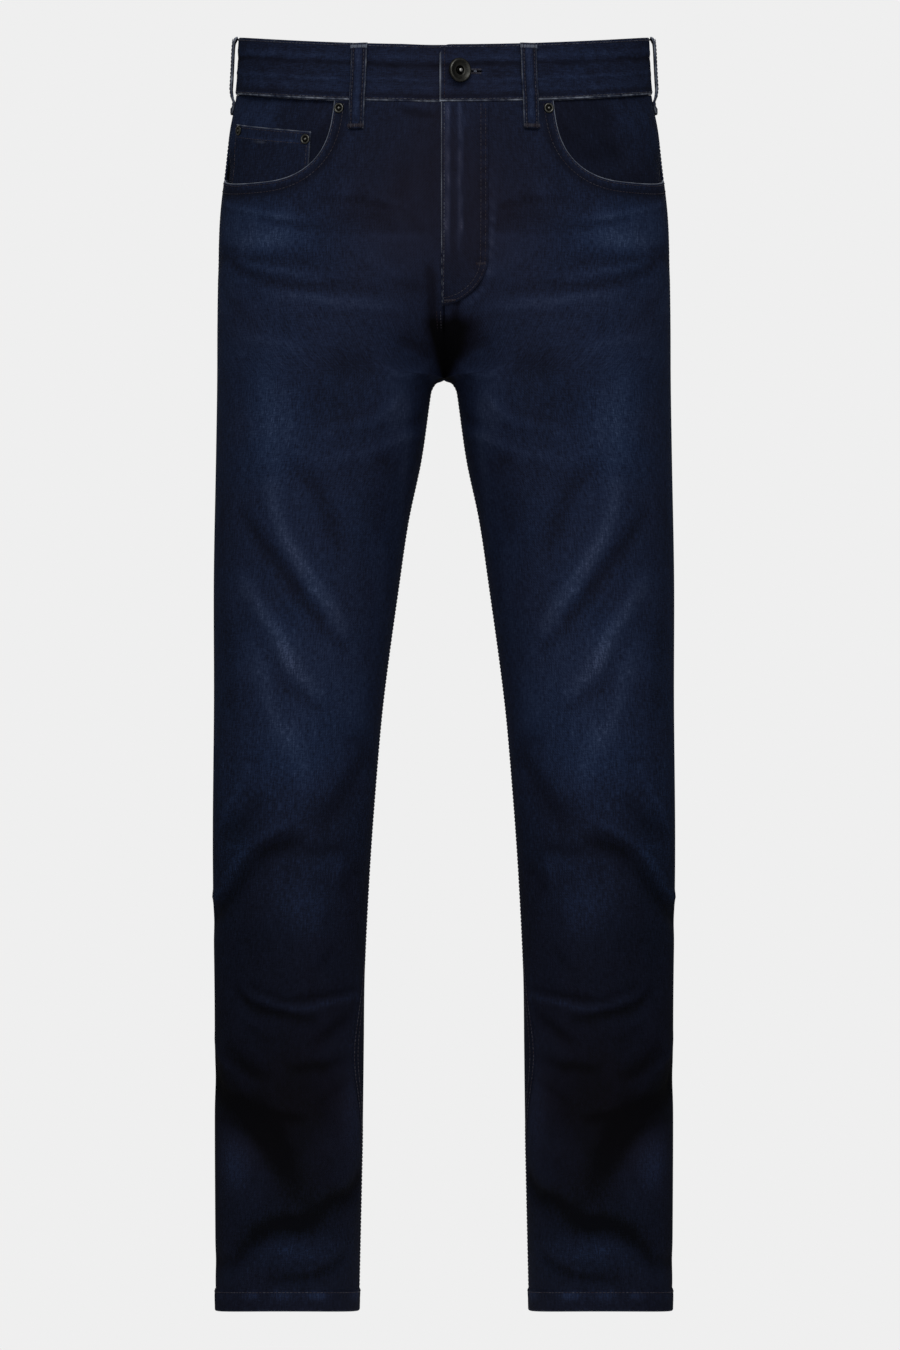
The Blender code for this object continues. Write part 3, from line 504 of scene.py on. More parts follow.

# Wear of the dye, with painted light and shade laid into it at some places: distance from the side
# seam, height, half width and half height in mm, amount, and for one that slants its lean across for each
# unit down.
FADES = (
    # hip and lap
    (-94, -148, 28, 11, 0.28),
    (-85, -130, 34, 9, 0.14),
    (-60, -150, 18, 11, 0.14),
    (-36, -134, 24, 18, 0.15),
    (-36, -190, 24, 20, 0.11),
    (-127, -200, 44, 8, 0.05),
    (-190, -158, 34, 14, 0.05),
    (-152, -112, 8, 9, 0.10),
    (-60, -238, 34, 14, 0.05),
    # painted shade in a hollow of the cloth by the fork
    (-165, -258, 15, 13, -0.08),
    (-178, -290, 26, 22, -0.07),
    # the column down the thigh, and the dark to both sides of it
    (-106, -296, 18, 46, 0.17),
    (-76, -290, 16, 20, 0.03),
    (-132, -310, 16, 40, 0.04),
    (-232, -340, 9, 50, 0.12),
    (-145, -284, 20, 30, -0.06),
    (-204, -330, 13, 10, -0.09),
    (-200, -372, 11, 20, -0.10),
    (-44, -380, 16, 40, -0.05),
    (-146, -370, 16, 40, 0.03),
    # above and over the knee
    (-50, -474, 14, 22, -0.09),
    (-54, -520, 14, 16, -0.09),
    (-72, -432, 12, 14, 0.07),
    (-92, -492, 24, 22, 0.10, 0.3),
    (-112, -560, 26, 40, 0.09),
    (-146, -500, 26, 60, 0.08),
    (-176, -540, 16, 60, 0.09),
    # painted light on the thigh's inner edge, which turns away from the lamps
    (-218, -292, 16, 26, 0.18),
    (-205, -420, 12, 60, 0.05),
    # the shin
    (-113, -690, 22, 24, 0.13),
    (-140, -656, 22, 8, 0.06),
    (-70, -716, 34, 40, -0.09),
    (-100, -640, 34, 14, -0.06),
    (-90, -815, 30, 40, -0.06),
    (-66, -864, 24, 20, -0.10),
    (-178, -850, 9, 70, 0.10),
    (-110, -858, 28, 40, -0.08),
    # calf and hem: pale flats between the deep folds
    (-44, -900, 26, 36, 0.30),
    (-158, -862, 20, 52, 0.28),
    (-128, -888, 12, 8, 0.07),
    (-168, -780, 16, 44, 0.12),
    (-100, -978, 50, 10, 0.13),
    (-100, -958, 30, 8, -0.06),
    (-34, -992, 22, 14, 0.14),
    # seat, back of the thigh and the heel of the hem
    (110, -170, 62, 60, 0.16),
    (120, -300, 50, 46, 0.08),
    (110, -440, 40, 90, 0.06),
    (96, -610, 50, 60, 0.05),
    (84, -1016, 60, 16, 0.14),
)

# The tone down the leg, darker over the calf partly from the dye and partly as painted shade: height in
# mm, then tone at the front and at the back.
TONES = (
    (35, 0.46, 0.47),
    (-100, 0.46, 0.48),
    (-200, 0.53, 0.54),
    (-300, 0.54, 0.53),
    (-400, 0.53, 0.52),
    (-480, 0.53, 0.49),
    (-580, 0.50, 0.45),
    (-640, 0.42, 0.42),
    (-700, 0.36, 0.40),
    (-780, 0.27, 0.34),
    (-860, 0.21, 0.28),
    (-930, 0.22, 0.24),
    (-1029, 0.30, 0.34),
)

# Where the dye has turned colder, or warmer: distance from the side seam, height, half width and half
# height in mm, and amount.
COLDS = (
    (0, -400, 40, 400, 0.35),
    (-110, -560, 60, 120, 0.18),
    (-100, -150, 70, 50, 0.20),
    (-236, -115, 72, 90, -0.75),
    (-106, -300, 34, 60, 0.30),
    (-110, -970, 90, 50, 0.30),
    (-120, -850, 90, 70, -0.35),
    (-40, -660, 40, 60, 0.45),
)


def patches(place, rows):
    """The sum of a table's soft oval patches, at places in the cloth in mm."""
    total = np.zeros(place.shape[:-1])
    for across, height, wide, tall, amount, *lean in rows:
        down = place[..., 1] - height
        total += amount * hump(place[..., 0] - across + sum(lean) * down, wide) * hump(down, tall)
    return total


def distance_to_line(points, line):
    """Distance from each point to a polyline, and how far along the polyline the nearest place is."""
    line = np.asarray(line, float)
    starts = line[:-1]
    steps = line[1:] - line[:-1]
    lengths = np.linalg.norm(steps, axis=1)
    before = np.concatenate([[0], np.cumsum(lengths)])
    best = np.full(points.shape[:-1], np.inf)
    place = np.zeros(points.shape[:-1])
    for k, step in enumerate(steps):
        share = np.clip(((points - starts[k]) @ step) / max(lengths[k] ** 2, 1e-12), 0, 1)
        gap = np.linalg.norm(points - starts[k] - share[..., None] * step, axis=-1)
        nearer = gap < best
        best = np.where(nearer, gap, best)
        place = np.where(nearer, before[k] + share * lengths[k], place)
    return best, place / before[-1]


def smooth_line(points, steps=6):
    """More points on a smooth curve through the given ones."""
    points = np.array(points, float)
    if len(points) < 3:
        return points
    ends = np.concatenate([[2 * points[0] - points[1]], points, [2 * points[-1] - points[-2]]])
    s = np.linspace(0, 1, steps, endpoint=False)[:, None]
    pieces = []
    for k in range(1, len(ends) - 2):
        p0, p1, p2, p3 = ends[k - 1 : k + 3]
        pieces.append(
            0.5
            * (
                2 * p1
                + (p2 - p0) * s
                + (2 * p0 - 5 * p1 + 4 * p2 - p3) * s**2
                + (3 * p1 - p0 - 3 * p2 + p3) * s**3
            )
        )
    return np.concatenate(pieces + [points[-1:]])


def creasing(t, z):
    """How deep the creases push the cloth in, and how far they and the wear move the tone, with painted
    shade in their troughs.
    """
    place = flat_place(t, z) * 1000
    tone_heights, front_tones, back_tones = np.array(TONES).T
    front = np.interp(-place[..., 1], -tone_heights, front_tones)
    back = np.interp(-place[..., 1], -tone_heights, back_tones)
    tone = mix(front, back, ease((place[..., 0] + 25) / 50)) + patches(place, FADES)
    depth = np.zeros(tone.shape)
    for line, width, deep, dark in CREASES:
        gap, along = distance_to_line(place, smooth_line(line))
        profile = hump(gap, width) * (4 * along * (1 - along)) ** 0.5
        depth += deep * profile
        # Painted shade, with dye kept in the trough: the tone darkens along each crease.
        tone -= dark * profile
    # The seams are stiff, so the creases run out against them.
    to_front = place[..., 0] - from_side(0.0, z) * 1000
    to_back = from_side(1.0, z) * 1000 - place[..., 0]
    to_seam = np.minimum(np.minimum(to_front, to_back), np.abs(place[..., 0]))
    depth *= mix(SEAM_CALM, 1.0, ease(to_seam / SEAM_CALM_REACH))
    return depth / 1000, tone


def graded(length, fine, coarse, growth=1.5):
    """Shares from 0 to 1 along a length, fine apart at both ends and coarse apart in the middle."""
    steps = [fine]
    while steps[-1] * growth < coarse:
        steps.append(steps[-1] * growth)
    lead = np.cumsum(steps)
    count = max(round((length - 2 * lead[-1]) / coarse), 1)
    inner = np.linspace(lead[-1], length - lead[-1], count + 1)
    return np.concatenate([[0], lead[:-1], inner, (length - lead[:-1])[::-1], [length]]) / length


def rounding(distance, radius, drop):
    """How far a cloth edge turns down, at a distance from the edge."""
    near = 1 - np.clip(distance / radius, 0, 1)
    return drop * (1 - np.sqrt(1 - near**2))


def add_piece(name, points, faces, materials, values):
    """A smooth mesh on the one body, with a number for each of its points under each word in values."""
    mesh = bpy.data.meshes.new(name)
    mesh.from_pydata(points.reshape(-1, 3).tolist(), [], faces)
    for material in materials:
        mesh.materials.append(material)
    for word, numbers in values.items():
        layer = mesh.attributes.new(word, "FLOAT", "POINT")
        layer.data.foreach_set("value", numbers.astype(np.float32))
    mesh.shade_smooth()
    obj = link_object(name, mesh)
    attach(obj, "root")
    return obj


def wall(name, skins, tone, worn, uv, materials, place=None):
    """A piece of cloth from the grids of its outer and inner skins, joined round the edge.

    tone and worn hold the tone, dye with painted light and shade laid into it, and the wear at each
    place of the grid, uv where the weave is drawn, and place where it lies in the cloth, for the dye's
    colour.
    """
    rows, columns = skins[0].shape[:2]
    count = rows * columns
    index = np.arange(count).reshape(rows, columns)
    a, b = index[:-1, :-1].ravel(), index[:-1, 1:].ravel()
    d, c = index[1:, :-1].ravel(), index[1:, 1:].ravel()
    faces = [np.stack([a, d, c, b], axis=1), np.stack([a, b, c, d], axis=1) + count]
    for edge in (index[0], index[-1, ::-1], index[::-1, 0], index[:, -1]):
        p, q = edge[:-1], edge[1:]
        faces.append(np.stack([p, q, q + count, p + count], axis=1))
    quads = np.concatenate(faces)
    points = np.concatenate([skin.reshape(-1, 3) for skin in skins])
    middle = quads[len(a) // 2]
    facing = np.cross(points[middle[1]] - points[middle[0]], points[middle[2]] - points[middle[0]])
    if np.dot(facing, points[middle[0]] - points[middle[0] + count]) < 0:
        quads = quads[:, ::-1]
    cold = 0.0 * tone if place is None else patches(place * 1000, COLDS)
    values = {"tone": tone, "worn": worn, "cold": cold}
    values = {word: np.tile(grid.ravel(), 2) for word, grid in values.items()}
    obj = add_piece(name, points, quads.tolist(), materials, values)
    mesh = obj.data
    reverse = np.zeros(len(quads), np.int32)
    reverse[len(a) : 2 * len(a)] = 1
    mesh.polygons.foreach_set("material_index", reverse)
    corners = np.zeros(len(mesh.loops), np.int32)
    mesh.loops.foreach_get("vertex_index", corners)
    layer = mesh.uv_layers.new(name="cloth")
    layer.data.foreach_set("uv", uv.reshape(-1, 2)[corners % count].ravel().astype(np.float32))
    mesh.set_sharp_from_angle(angle=math.radians(55))
    return obj


# Stretch denim, rope-dyed warp over grey weft, washed and then rubbed by wear: it gives the eye a dark
# matt navy with fine upright streaks of paler yarn, faded where it was sat and knelt in, and a pale
# grey line wherever a folded edge has rubbed through. The real twill repeats every 0.75 mm and its
# yarns are 0.4 mm thick, too fine for this picture, so both are drawn about twice as coarse.
TWILL_PITCH = 0.0016
WARP_WIDTH = 0.0010
WARP_LENGTH = 0.0055
SLUB_WIDTH = 0.0017
SLUB_LENGTH = 0.030
WEFT_WIDTH = 0.0011
WEFT_LENGTH = 0.0042
BLOTCH = 0.012
HUE_PATCH = 0.070
TONE_COLOURS = (
    (0.0, "#0c0c13"),
    (0.1, "#12131d"),
    (0.2, "#171929"),
    (0.4, "#202439"),
    (0.6, "#2b3555"),
    (0.8, "#3b4667"),
    (1.0, "#59648b"),
)
WORN_COLOUR = "#a3abba"
HUE_COLOURS = ("#ffe4d0", "#e9ffff")
REVERSE_COLOURS = ((0.0, "#2e3444"), (1.0, "#4a5264"))


def yarn_noise(tree, place, width, length, detail, seed):
    """Noise drawn out into streaks: width across and length down, in metres."""
    stretch = {0: place, 1: (1 / width, 1 / length, 0.0), 2: (seed, seed * 1.7, 0.0)}
    scaled = add_node(tree, "ShaderNodeVectorMath", stretch, operation="MULTIPLY_ADD")
    look = {"Vector": scaled, "Scale": 1.0, "Detail": detail, "Roughness": 0.55}
    return add_node(tree, "ShaderNodeTexNoise", look)


def maths(tree, operation, *values, **settings):
    return add_node(tree, "ShaderNodeMath", dict(enumerate(values)), operation=operation, **settings)


def weighted(tree, total, parts):
    """The first value plus each part less a half, times its weight."""
    for value, weight in parts:
        total = maths(tree, "MULTIPLY_ADD", maths(tree, "ADD", value, -0.5), weight, total)
    return total


def mixed(tree, share, first, second, blend="MIX"):
    inputs = {0: share, 6: first, 7: second}
    return add_node(tree, "ShaderNodeMix", inputs, 2, data_type="RGBA", blend_type=blend)


def from_ramp(tree, value, stops):
    """The colour at a value, between stops of position and colour."""
    colour = add_node(tree, "ShaderNodeValToRGB", {"Fac": value})
    elements = colour.node.color_ramp.elements
    while len(elements) < len(stops):
        elements.new(0.5)
    for element, (position, hex_colour) in zip(elements, stops):
        element.position = position
        element.color = linear(hex_colour)
    return colour


def finish_material(tree, colour, roughness, height, strength, distance, **more):
    """The surface of a material; height makes a bump of this strength and distance."""
    bump = {"Height": height, "Strength": strength, "Distance": distance}
    normal = add_node(tree, "ShaderNodeBump", bump)
    inputs = {"Base Color": colour, "Roughness": roughness, "Normal": normal, **more}
    shader = add_node(tree, "ShaderNodeBsdfPrincipled", inputs)
    add_node(tree, "ShaderNodeOutputMaterial", {"Surface": shader})


def woven_denim(name, reverse):
    material = bpy.data.materials.new(name)
    tree = cleared(material)
    place = add_node(tree, "ShaderNodeUVMap", uv_map="cloth")
    warp = yarn_noise(tree, place, WARP_WIDTH, WARP_LENGTH, 2.0, 3.1)
    slub = yarn_noise(tree, place, SLUB_WIDTH, SLUB_LENGTH, 2.0, 5.7)
    weft = yarn_noise(tree, place, WEFT_LENGTH, WEFT_WIDTH, 2.0, 7.3)
    blotch = yarn_noise(tree, place, BLOTCH, BLOTCH * 1.6, 3.0, 11.9)
    ridge = 2 * math.pi / TWILL_PITCH * math.sqrt(0.5)
    across = {0: place, 1: (ridge, ridge, 0.0)}
    slant = add_node(tree, "ShaderNodeVectorMath", across, "Value", operation="DOT_PRODUCT")
    twill = maths(tree, "MULTIPLY_ADD", maths(tree, "SINE", slant), 0.5, 0.5)
    if reverse:
        tone = weighted(tree, 0.5, ((warp, 0.5), (weft, 0.7), (twill, 0.25)))
        colour = from_ramp(tree, tone, REVERSE_COLOURS)
    else:
        # The tone attribute holds the dye with the painted light and shade laid into it.
        toned, rubbed, cold = (
            add_node(tree, "ShaderNodeAttribute", output="Fac", attribute_name=word)
            for word in ("tone", "worn", "cold")
        )
        # The paler yarns stand out most where the cloth is worn, and least in the warm dark dye.
        strength = weighted(tree, 1.35, ((toned, 0.8), (cold, 1.0)))
        strength = maths(tree, "MAXIMUM", strength, 0.25)
        parts = [(blotch, 0.16), (twill, 0.04)]
        for value, weight in ((warp, 0.66), (slub, 0.24), (weft, 0.46)):
            parts.append((value, maths(tree, "MULTIPLY", strength, weight)))
        shade = from_ramp(tree, weighted(tree, toned, parts), TONE_COLOURS)
        drift = yarn_noise(tree, place, HUE_PATCH, HUE_PATCH, 2.0, 17.3)
        chill = maths(tree, "ADD", weighted(tree, 0.62, ((drift, 0.7),)), cold)
        hue = mixed(tree, chill, linear(HUE_COLOURS[0]), linear(HUE_COLOURS[1]))
        shade = mixed(tree, 1.0, shade, hue, "MULTIPLY")
        broken = weighted(tree, rubbed, ((blotch, 0.5), (weft, 0.5)))
        bare = maths(tree, "MULTIPLY", broken, rubbed, use_clamp=True)
        colour = mixed(tree, bare, shade, linear(WORN_COLOUR))
    height = weighted(tree, 0.0, ((warp, 0.8), (weft, 0.5), (twill, 0.5)))
    rough = weighted(tree, 0.86, ((warp, 0.16), (weft, 0.10)))
    matt = {"IOR": 1.5, "Specular IOR Level": 0.08}
    finish_material(tree, colour, rough, height, 0.50, 0.0004, **matt)
    return material


denim_face = woven_denim("worn_stretch_denim", reverse=False)
denim_reverse = woven_denim("stretch_denim_reverse", reverse=True)
DENIM_SIDES = (denim_face, denim_reverse)


def trimmed(t_from, t_to, u, z):
    """t across a piece, kept half a seam gap inside both of its edges."""
    trim = HALF_SEAM / rate_at(mix(t_from, t_to, 0.5), z)
    return mix(t_from + trim, t_to - trim, u)


def level_heights():
    """Heights of the rows from LEVEL_Z down to the hem: close at the crotch's arch and the hem."""
    rise = mix(LEVEL_Z, CROTCH_Z, np.sin(math.pi / 2 * np.linspace(0, 1, 38)))
    arch = CROTCH_Z - ARCH_DEPTH * (1 - np.cos(math.pi / 2 * np.linspace(0, 1, 9)[1:]))
    leg = np.linspace(arch[-1], HEM_SEAM + 0.003, 228)[1:]
    turn = HEM_SEAM + np.array([0.0018, 0.0010, 0.0004, 0.0, -0.0004, -0.0010, -0.0018])
    fold = np.linspace(HEM_SEAM - 0.003, HEM_Z + 0.0022, 7)
    foot = HEM_Z + np.array([0.0014, 0.0008, 0.0004, 0.0001, 0.0])
    return np.concatenate([rise, arch, leg, turn, fold, foot])


# Where the hem's fold has rubbed pale just under its row of stitches: distance from the side seam and
# half width in mm, and amount.
HEM_RUBS = (
    (-62, 7, 0.22),
    (-86, 9, 0.20),
    (-116, 11, 0.26),
    (-162, 12, 0.22),
    (-28, 16, 0.10),
    (30, 12, 0.20),
    (64, 8, 0.24),
    (100, 13, 0.26),
    (146, 9, 0.20),
)


def hem_calm(z):
    """The share of the creases' depth that is left by the stiff hem."""
    return mix(HEM_CALM, 1.0, ease((z - HEM_Z) / HEM_CALM_REACH))


def panel(side, t_from, t_to, shares, top_edge, top_line):
    """A front or back panel, from its top edge down one leg to the hem's turned fold.

    It gives the outer and inner skins, and the grids of t, height, tone, wear and place in the cloth.
    """
    heights = level_heights()
    upper = graded(0.090, 0.0005, 0.0032)[:-1]
    upper = upper[upper < 0.97]
    edge_t, edge_z = top_edge(shares[None, :])
    near_top = (1 - upper)[:, None]
    z_upper = mix(LEVEL_Z, edge_z - HALF_SEAM, near_top)
    z = np.concatenate([z_upper, np.repeat(heights[:, None], len(shares), axis=1)])
    near_top = np.concatenate([near_top, np.zeros((len(heights), 1))])
    level_t, low_t, high_t = (trimmed(t_from, t_to, u, z) for u in (shares[None, :], 0.0, 1.0))
    t = mix(level_t, np.clip(edge_t, low_t, high_t), near_top)
    place = flat_place(t, z)
    across = np.abs(place[..., 0] - place[:, :1, 0])
    to_edge = np.minimum(across, across[:, -1:] - across)
    to_top = distance_to_line(form(side, t, z)[: len(upper) + 4], top_line)[0]
    to_top = np.concatenate([to_top, np.full((len(z) - len(to_top), len(shares)), 1.0)])
    depth, tone = creasing(t, z)
    roping = np.sin(2 * math.pi * (place[..., 0] / ROPING_PITCH + (z - HEM_SEAM) / ROPING_SLANT))
    level = HEM_RAISE * ease((HEM_SEAM + 0.0008 - z) / 0.0012) - depth * hem_calm(z)
    level += ROPING_DEPTH * roping * hump(z - HEM_SEAM + 0.005, 0.007)
    level -= rounding(to_edge, *SEAM_ROUND) + rounding(to_top, *FOLD_ROUND)
    # Just above the fork the two legs' cloth faces sideways and presses together.
    sideways = ease((-outward(LEFT, t, z)[..., 0] - 0.55) / 0.35)
    pressed = sideways * ease((PRESS_TOP_Z - z) / PRESS_EASE) * ease((z - CROTCH_Z + 0.0030) / 0.0020)
    level = mix(level, PRESS_LEVEL, pressed)
    depth = depth * (1 - pressed)
    foot = rounding(z - HEM_Z, 0.0014, 0.0009)
    outer = form(side, t, z, level - foot)
    inner = form(side, t, z, -depth * hem_calm(z) - DENIM + foot * 0.8)
    worn = 0.35 * hump(z - HEM_Z, 0.0011)
    below_row = hump(z - HEM_SEAM + 0.0042, 0.0042)
    for middle, wide, amount in HEM_RUBS:
        tone += 1.1 * amount * below_row * hump(place[..., 0] * 1000 - middle, wide)
    return (outer, inner), [t, z, tone, worn, place]


def lapped(side, skins, grids, first, reach):
    """A panel with one more strip, which goes in under its neighbour beyond a seam.

    first says whether the strip is beyond the grid's first column or its last one, and reach holds how
    far it goes at each row.
    """
    edge = 0 if first else -1
    edge_t, edge_z = grids[0][:, edge], grids[1][:, edge]
    heading = form(side, edge_t, edge_z) - form(side, edge_t + (0.004 if first else -0.004), edge_z)
    heading /= np.linalg.norm(heading, axis=1, keepdims=True)
    out = outward(side, np.abs(edge_t), edge_z)
    flush = form(side, edge_t, edge_z, -creasing(edge_t, edge_z)[0])

    def widened(grid, strip):
        return np.concatenate([strip[:, ::-1], grid] if first else [grid, strip], axis=1)

    made = []
    under = LAP_LEVEL - LAP_CLOTH
    for skin, levels in zip(skins, ((-DENIM - 0.0001, LAP_LEVEL, LAP_LEVEL), (under, under, under))):
        strip = []
        for level, share in zip(levels, (0.0, 0.15, 1.0)):
            strip.append(flush + out * level + heading * (reach * share)[:, None])
        made.append(widened(skin, np.stack(strip, axis=1)))
    column = slice(edge, edge + 1 or None)
    return made, [widened(grid, np.repeat(grid[:, column], 3, axis=1)) for grid in grids]


def panel_wall(name, skins, grids, middle_t):
    """A panel's mesh, with the warp running down its middle line, where t is this."""
    tone, worn, place = grids[2:]
    middle = from_side(middle_t, place[..., 1])
    uv = np.stack([place[..., 0] - middle, place[..., 1]], axis=-1)
    return wall(name + "_panel", skins, tone, worn, uv, DENIM_SIDES, place)


seam_shares = graded(0.058, 0.0005, 0.0030) * SCOOP_SEAM_SHARE
scoop_shares = mix(SCOOP_SEAM_SHARE, 1.0, graded(0.125, 0.0006, 0.0030))
FRONT_SHARES = np.concatenate([seam_shares, scoop_shares[1:]])
NEAR_SCOOP = slice(0, 60)  # the rows that reach below the scoop
THIGH_DYE_AND_SHADE_WIDTH = {RIGHT: 0.017, LEFT: 0.031}
THIGH_DYE_AND_SHADE_TOP_Z = -0.209
THIGH_DYE_AND_SHADE_FOOT_Z = -0.264
BEYOND_J_PITCH = 0.0098  # between the puckers on the panel, just beyond the fly's J

for side in (RIGHT, LEFT):
    name = "front_" + SIDE_NAMES[side]
    top_line = form(side, *scoop_edge(np.linspace(0, 1, 400)))
    scoop_line = form(side, *scoop_edge(np.linspace(SCOOP_SEAM_SHARE, 1, 400)))
    skins, grids = panel(side, 0.0, 0.5, FRONT_SHARES, scoop_edge, top_line)
    t, z, tone, worn, place = grids
    to_scoop = distance_to_line(form(side, t[NEAR_SCOOP], z[NEAR_SCOOP]), scoop_line)[0]
    along_edge = place[NEAR_SCOOP, :, 0] * 1.3 + z[NEAR_SCOOP]
    uneven = np.sin(along_edge * 520 + 2 * np.sin(along_edge * 97)) * np.sin(along_edge * 211)
    worn[NEAR_SCOOP] += (1.12 + 0.35 * uneven) * hump(to_scoop, 0.0007)
    tone[NEAR_SCOOP] -= 0.16 * hump(to_scoop - 0.0085, 0.0035)
    # The cloth between the thighs has kept its dye, and painted shade darkens it further where it lies in
    # deep shadow, deeper on the left.
    from_centre = place[..., 0] - from_side(0.0, z)
    high, low = THIGH_DYE_AND_SHADE_TOP_Z - z, z - THIGH_DYE_AND_SHADE_FOOT_Z
    dye_and_shadow = np.exp(-((from_centre / THIGH_DYE_AND_SHADE_WIDTH[side]) ** 4))
    tone -= 0.62 * ease(high / 0.012) * ease(low / 0.008) * dye_and_shadow
    if side == LEFT:
        # Just beyond the fly's J the topstitching puckers the panel, and the puckers are rubbed pale.
        bend_z = FLY_BOTTOM_Z + FLY_WIDTH
        beyond = np.where(z > bend_z, from_centre, np.hypot(from_centre, z - bend_z)) - FLY_WIDTH
        pucker = 0.60 + 0.40 * np.sin(2 * math.pi * (z - from_centre) / BEYOND_J_PITCH + np.sin(z * 90))
        span = ease((-0.085 - z) / 0.020) * (from_centre > 0)
        tone += 0.26 * span * pucker * hump(beyond - 0.0030, 0.0024)
    below = ease((CROTCH_Z - z[:, 0]) / FORK_HEIGHT)
    skins, grids = lapped(side, skins, grids, False, LAP_REACH + 0 * below)
    inseam_reach = LAP_REACH * (below if side == LEFT else 1 + 0 * below) + 0.00005
    skins, grids = lapped(side, skins, grids, True, inseam_reach)
    piece = panel_wall(name, skins, grids, 0.25)
    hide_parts(name)

# ---- Back panels ----
# One piece of the same denim down the back of each leg, from the yoke to the hem. Their inseams are
# lapped and topstitched twice, and their side seams are closed and pressed open.
YOKE_SIDE_DROP = 0.036
YOKE_CENTRE_DROP = 0.072
BACK_SHARES = graded(0.200, 0.0005, 0.0030)


def yoke_seam(t):
    """Height of the yoke's lower edge, which falls to a V at the centre back."""
    return waist_seam(t) - mix(YOKE_SIDE_DROP, YOKE_CENTRE_DROP, 2 * t - 1)


def back_edge(share):
    """t and height along a back panel's top edge."""
    t = mix(0.5, 1.0, share)
    return t, yoke_seam(t)


for side in (RIGHT, LEFT):
    name = "back_" + SIDE_NAMES[side]
    top_line = form(side, *back_edge(np.linspace(0, 1, 60)))
    skins, grids = panel(side, 0.5, 1.0, BACK_SHARES, back_edge, top_line)
    inner_z = grids[1][:, -1]
    above = ease((inner_z - CROTCH_Z) / FORK_HEIGHT) if side == RIGHT else 0 * inner_z
    skins, grids = lapped(side, skins, grids, False, LAP_REACH * above + 0.00005)
    piece = panel_wall(name, skins, grids, 0.75)
    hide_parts(name)

# ---- Pocket facings ----
# The denim pieces seen inside the two scoops, sewn to the pocket bag and caught in the waist and side
# seams. The right one lies a little deeper, because the coin pocket is sewn on it.
PLY_GAP = 0.0008
LYING_GAP = 0.0005
COIN_CLOTH = 0.0012
FACING_T = 0.150
FACING_BOTTOM_Z = -0.1145
FACING_FLUSH_T = 0.36
FACING_FLUSH_Z = -0.0880
FACING_RAMP = (0.12, 0.030)  # in t and in height


def facing_level(side, t, z):
    """Outside level of the pocket facing: under the front panel at the scoop, flush at the side seam."""
    sunk = -DENIM - PLY_GAP
    if side == RIGHT:
        sunk -= COIN_CLOTH + LYING_GAP
    raised = ease((t - FACING_FLUSH_T) / FACING_RAMP[0]) * ease((z - FACING_FLUSH_Z) / FACING_RAMP[1])
    return mix(sunk, 0.0, raised)


def to_nearer_end(points, axis):
    """Distance along each line of a grid to the nearer of its ends."""
    steps = np.linalg.norm(np.diff(points, axis=axis), axis=-1)
    run = np.insert(np.cumsum(steps, axis=axis), 0, 0.0, axis=axis)
    return np.minimum(run, run.take([-1], axis=axis) - run)


def cloth_piece(name, side, t, z, level, cloth, tone, worn=0.0, turned=(0.0012, 0.0004)):
    """A piece from its grid of places and outer levels; turned is its edges' radius and drop."""
    flat = form(side, t, z, level)
    to_edge = np.minimum(to_nearer_end(flat, 0), to_nearer_end(flat, 1))
    outer = form(side, t, z, level - rounding(to_edge, *turned))
    inner = form(side, t, z, level - cloth)
    place = flat_place(t, z)
    full = 0.0 * to_edge
    return wall(name, (outer, inner), tone + full, worn + full, place, DENIM_SIDES, place)


for side in (RIGHT, LEFT):
    u = graded(0.125, 0.0006, 0.0030)[None, :]
    v = graded(0.085, 0.0006, 0.0030)[:, None]
    t = trimmed(FACING_T, 0.5, u, SCOOP_Z) + 0.0 * v
    z = mix(waist_seam(t) - HALF_SEAM, FACING_BOTTOM_Z, v)
    across = from_side(t, z)
    mottle = np.sin(across * 150 + 1.3) * np.sin(z * 210 + across * 60)
    tone = 0.40 - 0.10 * ease((-0.085 - z) / 0.02) + 0.035 * mottle
    # Painted light: each facing is lightened towards the waistband, where the band's shade falls, more on
    # the right, which lies deeper.
    tone += (0.16 if side == RIGHT else 0.07) * ease((z + 0.085) / 0.035)
    # Painted shade in the facing by the upper end of the scoop.
    tone -= 0.14 * ease((-0.066 - across) / 0.020) * ease((z + 0.095) / 0.020)
    name = "pocket_facing_" + SIDE_NAMES[side]
    piece = cloth_piece(name + "_cloth", side, t, z, facing_level(side, t, z), DENIM, tone)
    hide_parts(name)

# ---- Coin pocket ----
# A small patch of denim with a hem along its mouth, topstitched to the right facing; its foot goes
# down behind the scoop's edge.
COIN_INNER_T = 0.2077
COIN_OUTER_T = 0.4170
COIN_INNER_Z = -0.0620
COIN_OUTER_Z = -0.0485
COIN_BOTTOM_Z = -0.1100
COIN_HEM = 0.0120
COIN_WIDTH = 0.078
COIN_HEM_RAISE = 0.0003


def coin_place(u, v):
    t = mix(COIN_INNER_T, COIN_OUTER_T, u)
    return t, mix(mix(COIN_INNER_Z, COIN_OUTER_Z, u), COIN_BOTTOM_Z, v)


def coin_level(t, z):
    """The coin pocket's outside level below its hem."""
    return facing_level(RIGHT, t, z) + LYING_GAP + COIN_CLOTH


u = graded(COIN_WIDTH, 0.0004, 0.0028)[None, :]
v = graded(0.055, 0.0004, 0.0022)[:, None]
t, z = coin_place(u, v)
below_mouth = mix(COIN_INNER_Z, COIN_OUTER_Z, u) - z
in_hem = COIN_HEM - below_mouth
level = coin_level(t, z) + COIN_HEM_RAISE * ease(in_hem / 0.0012)
broken = 0.5 + 0.5 * np.sin(t * 140 + 1.8 * np.sin(t * 47))
tone = 0.43 + 0.04 * ease(in_hem / 0.001) + 0.08 * (1 + broken) * hump(in_hem - 0.0028, 0.0012)
worn = 0.45 * (1 + broken) * hump(below_mouth, 0.0008) + 0.40 * broken * hump(in_hem, 0.0007)
worn = worn + 0.35 * hump(u * COIN_WIDTH, 0.0007)
piece = cloth_piece("coin_pocket_patch", RIGHT, t, z, level, COIN_CLOTH, tone, worn)
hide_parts("coin_pocket")

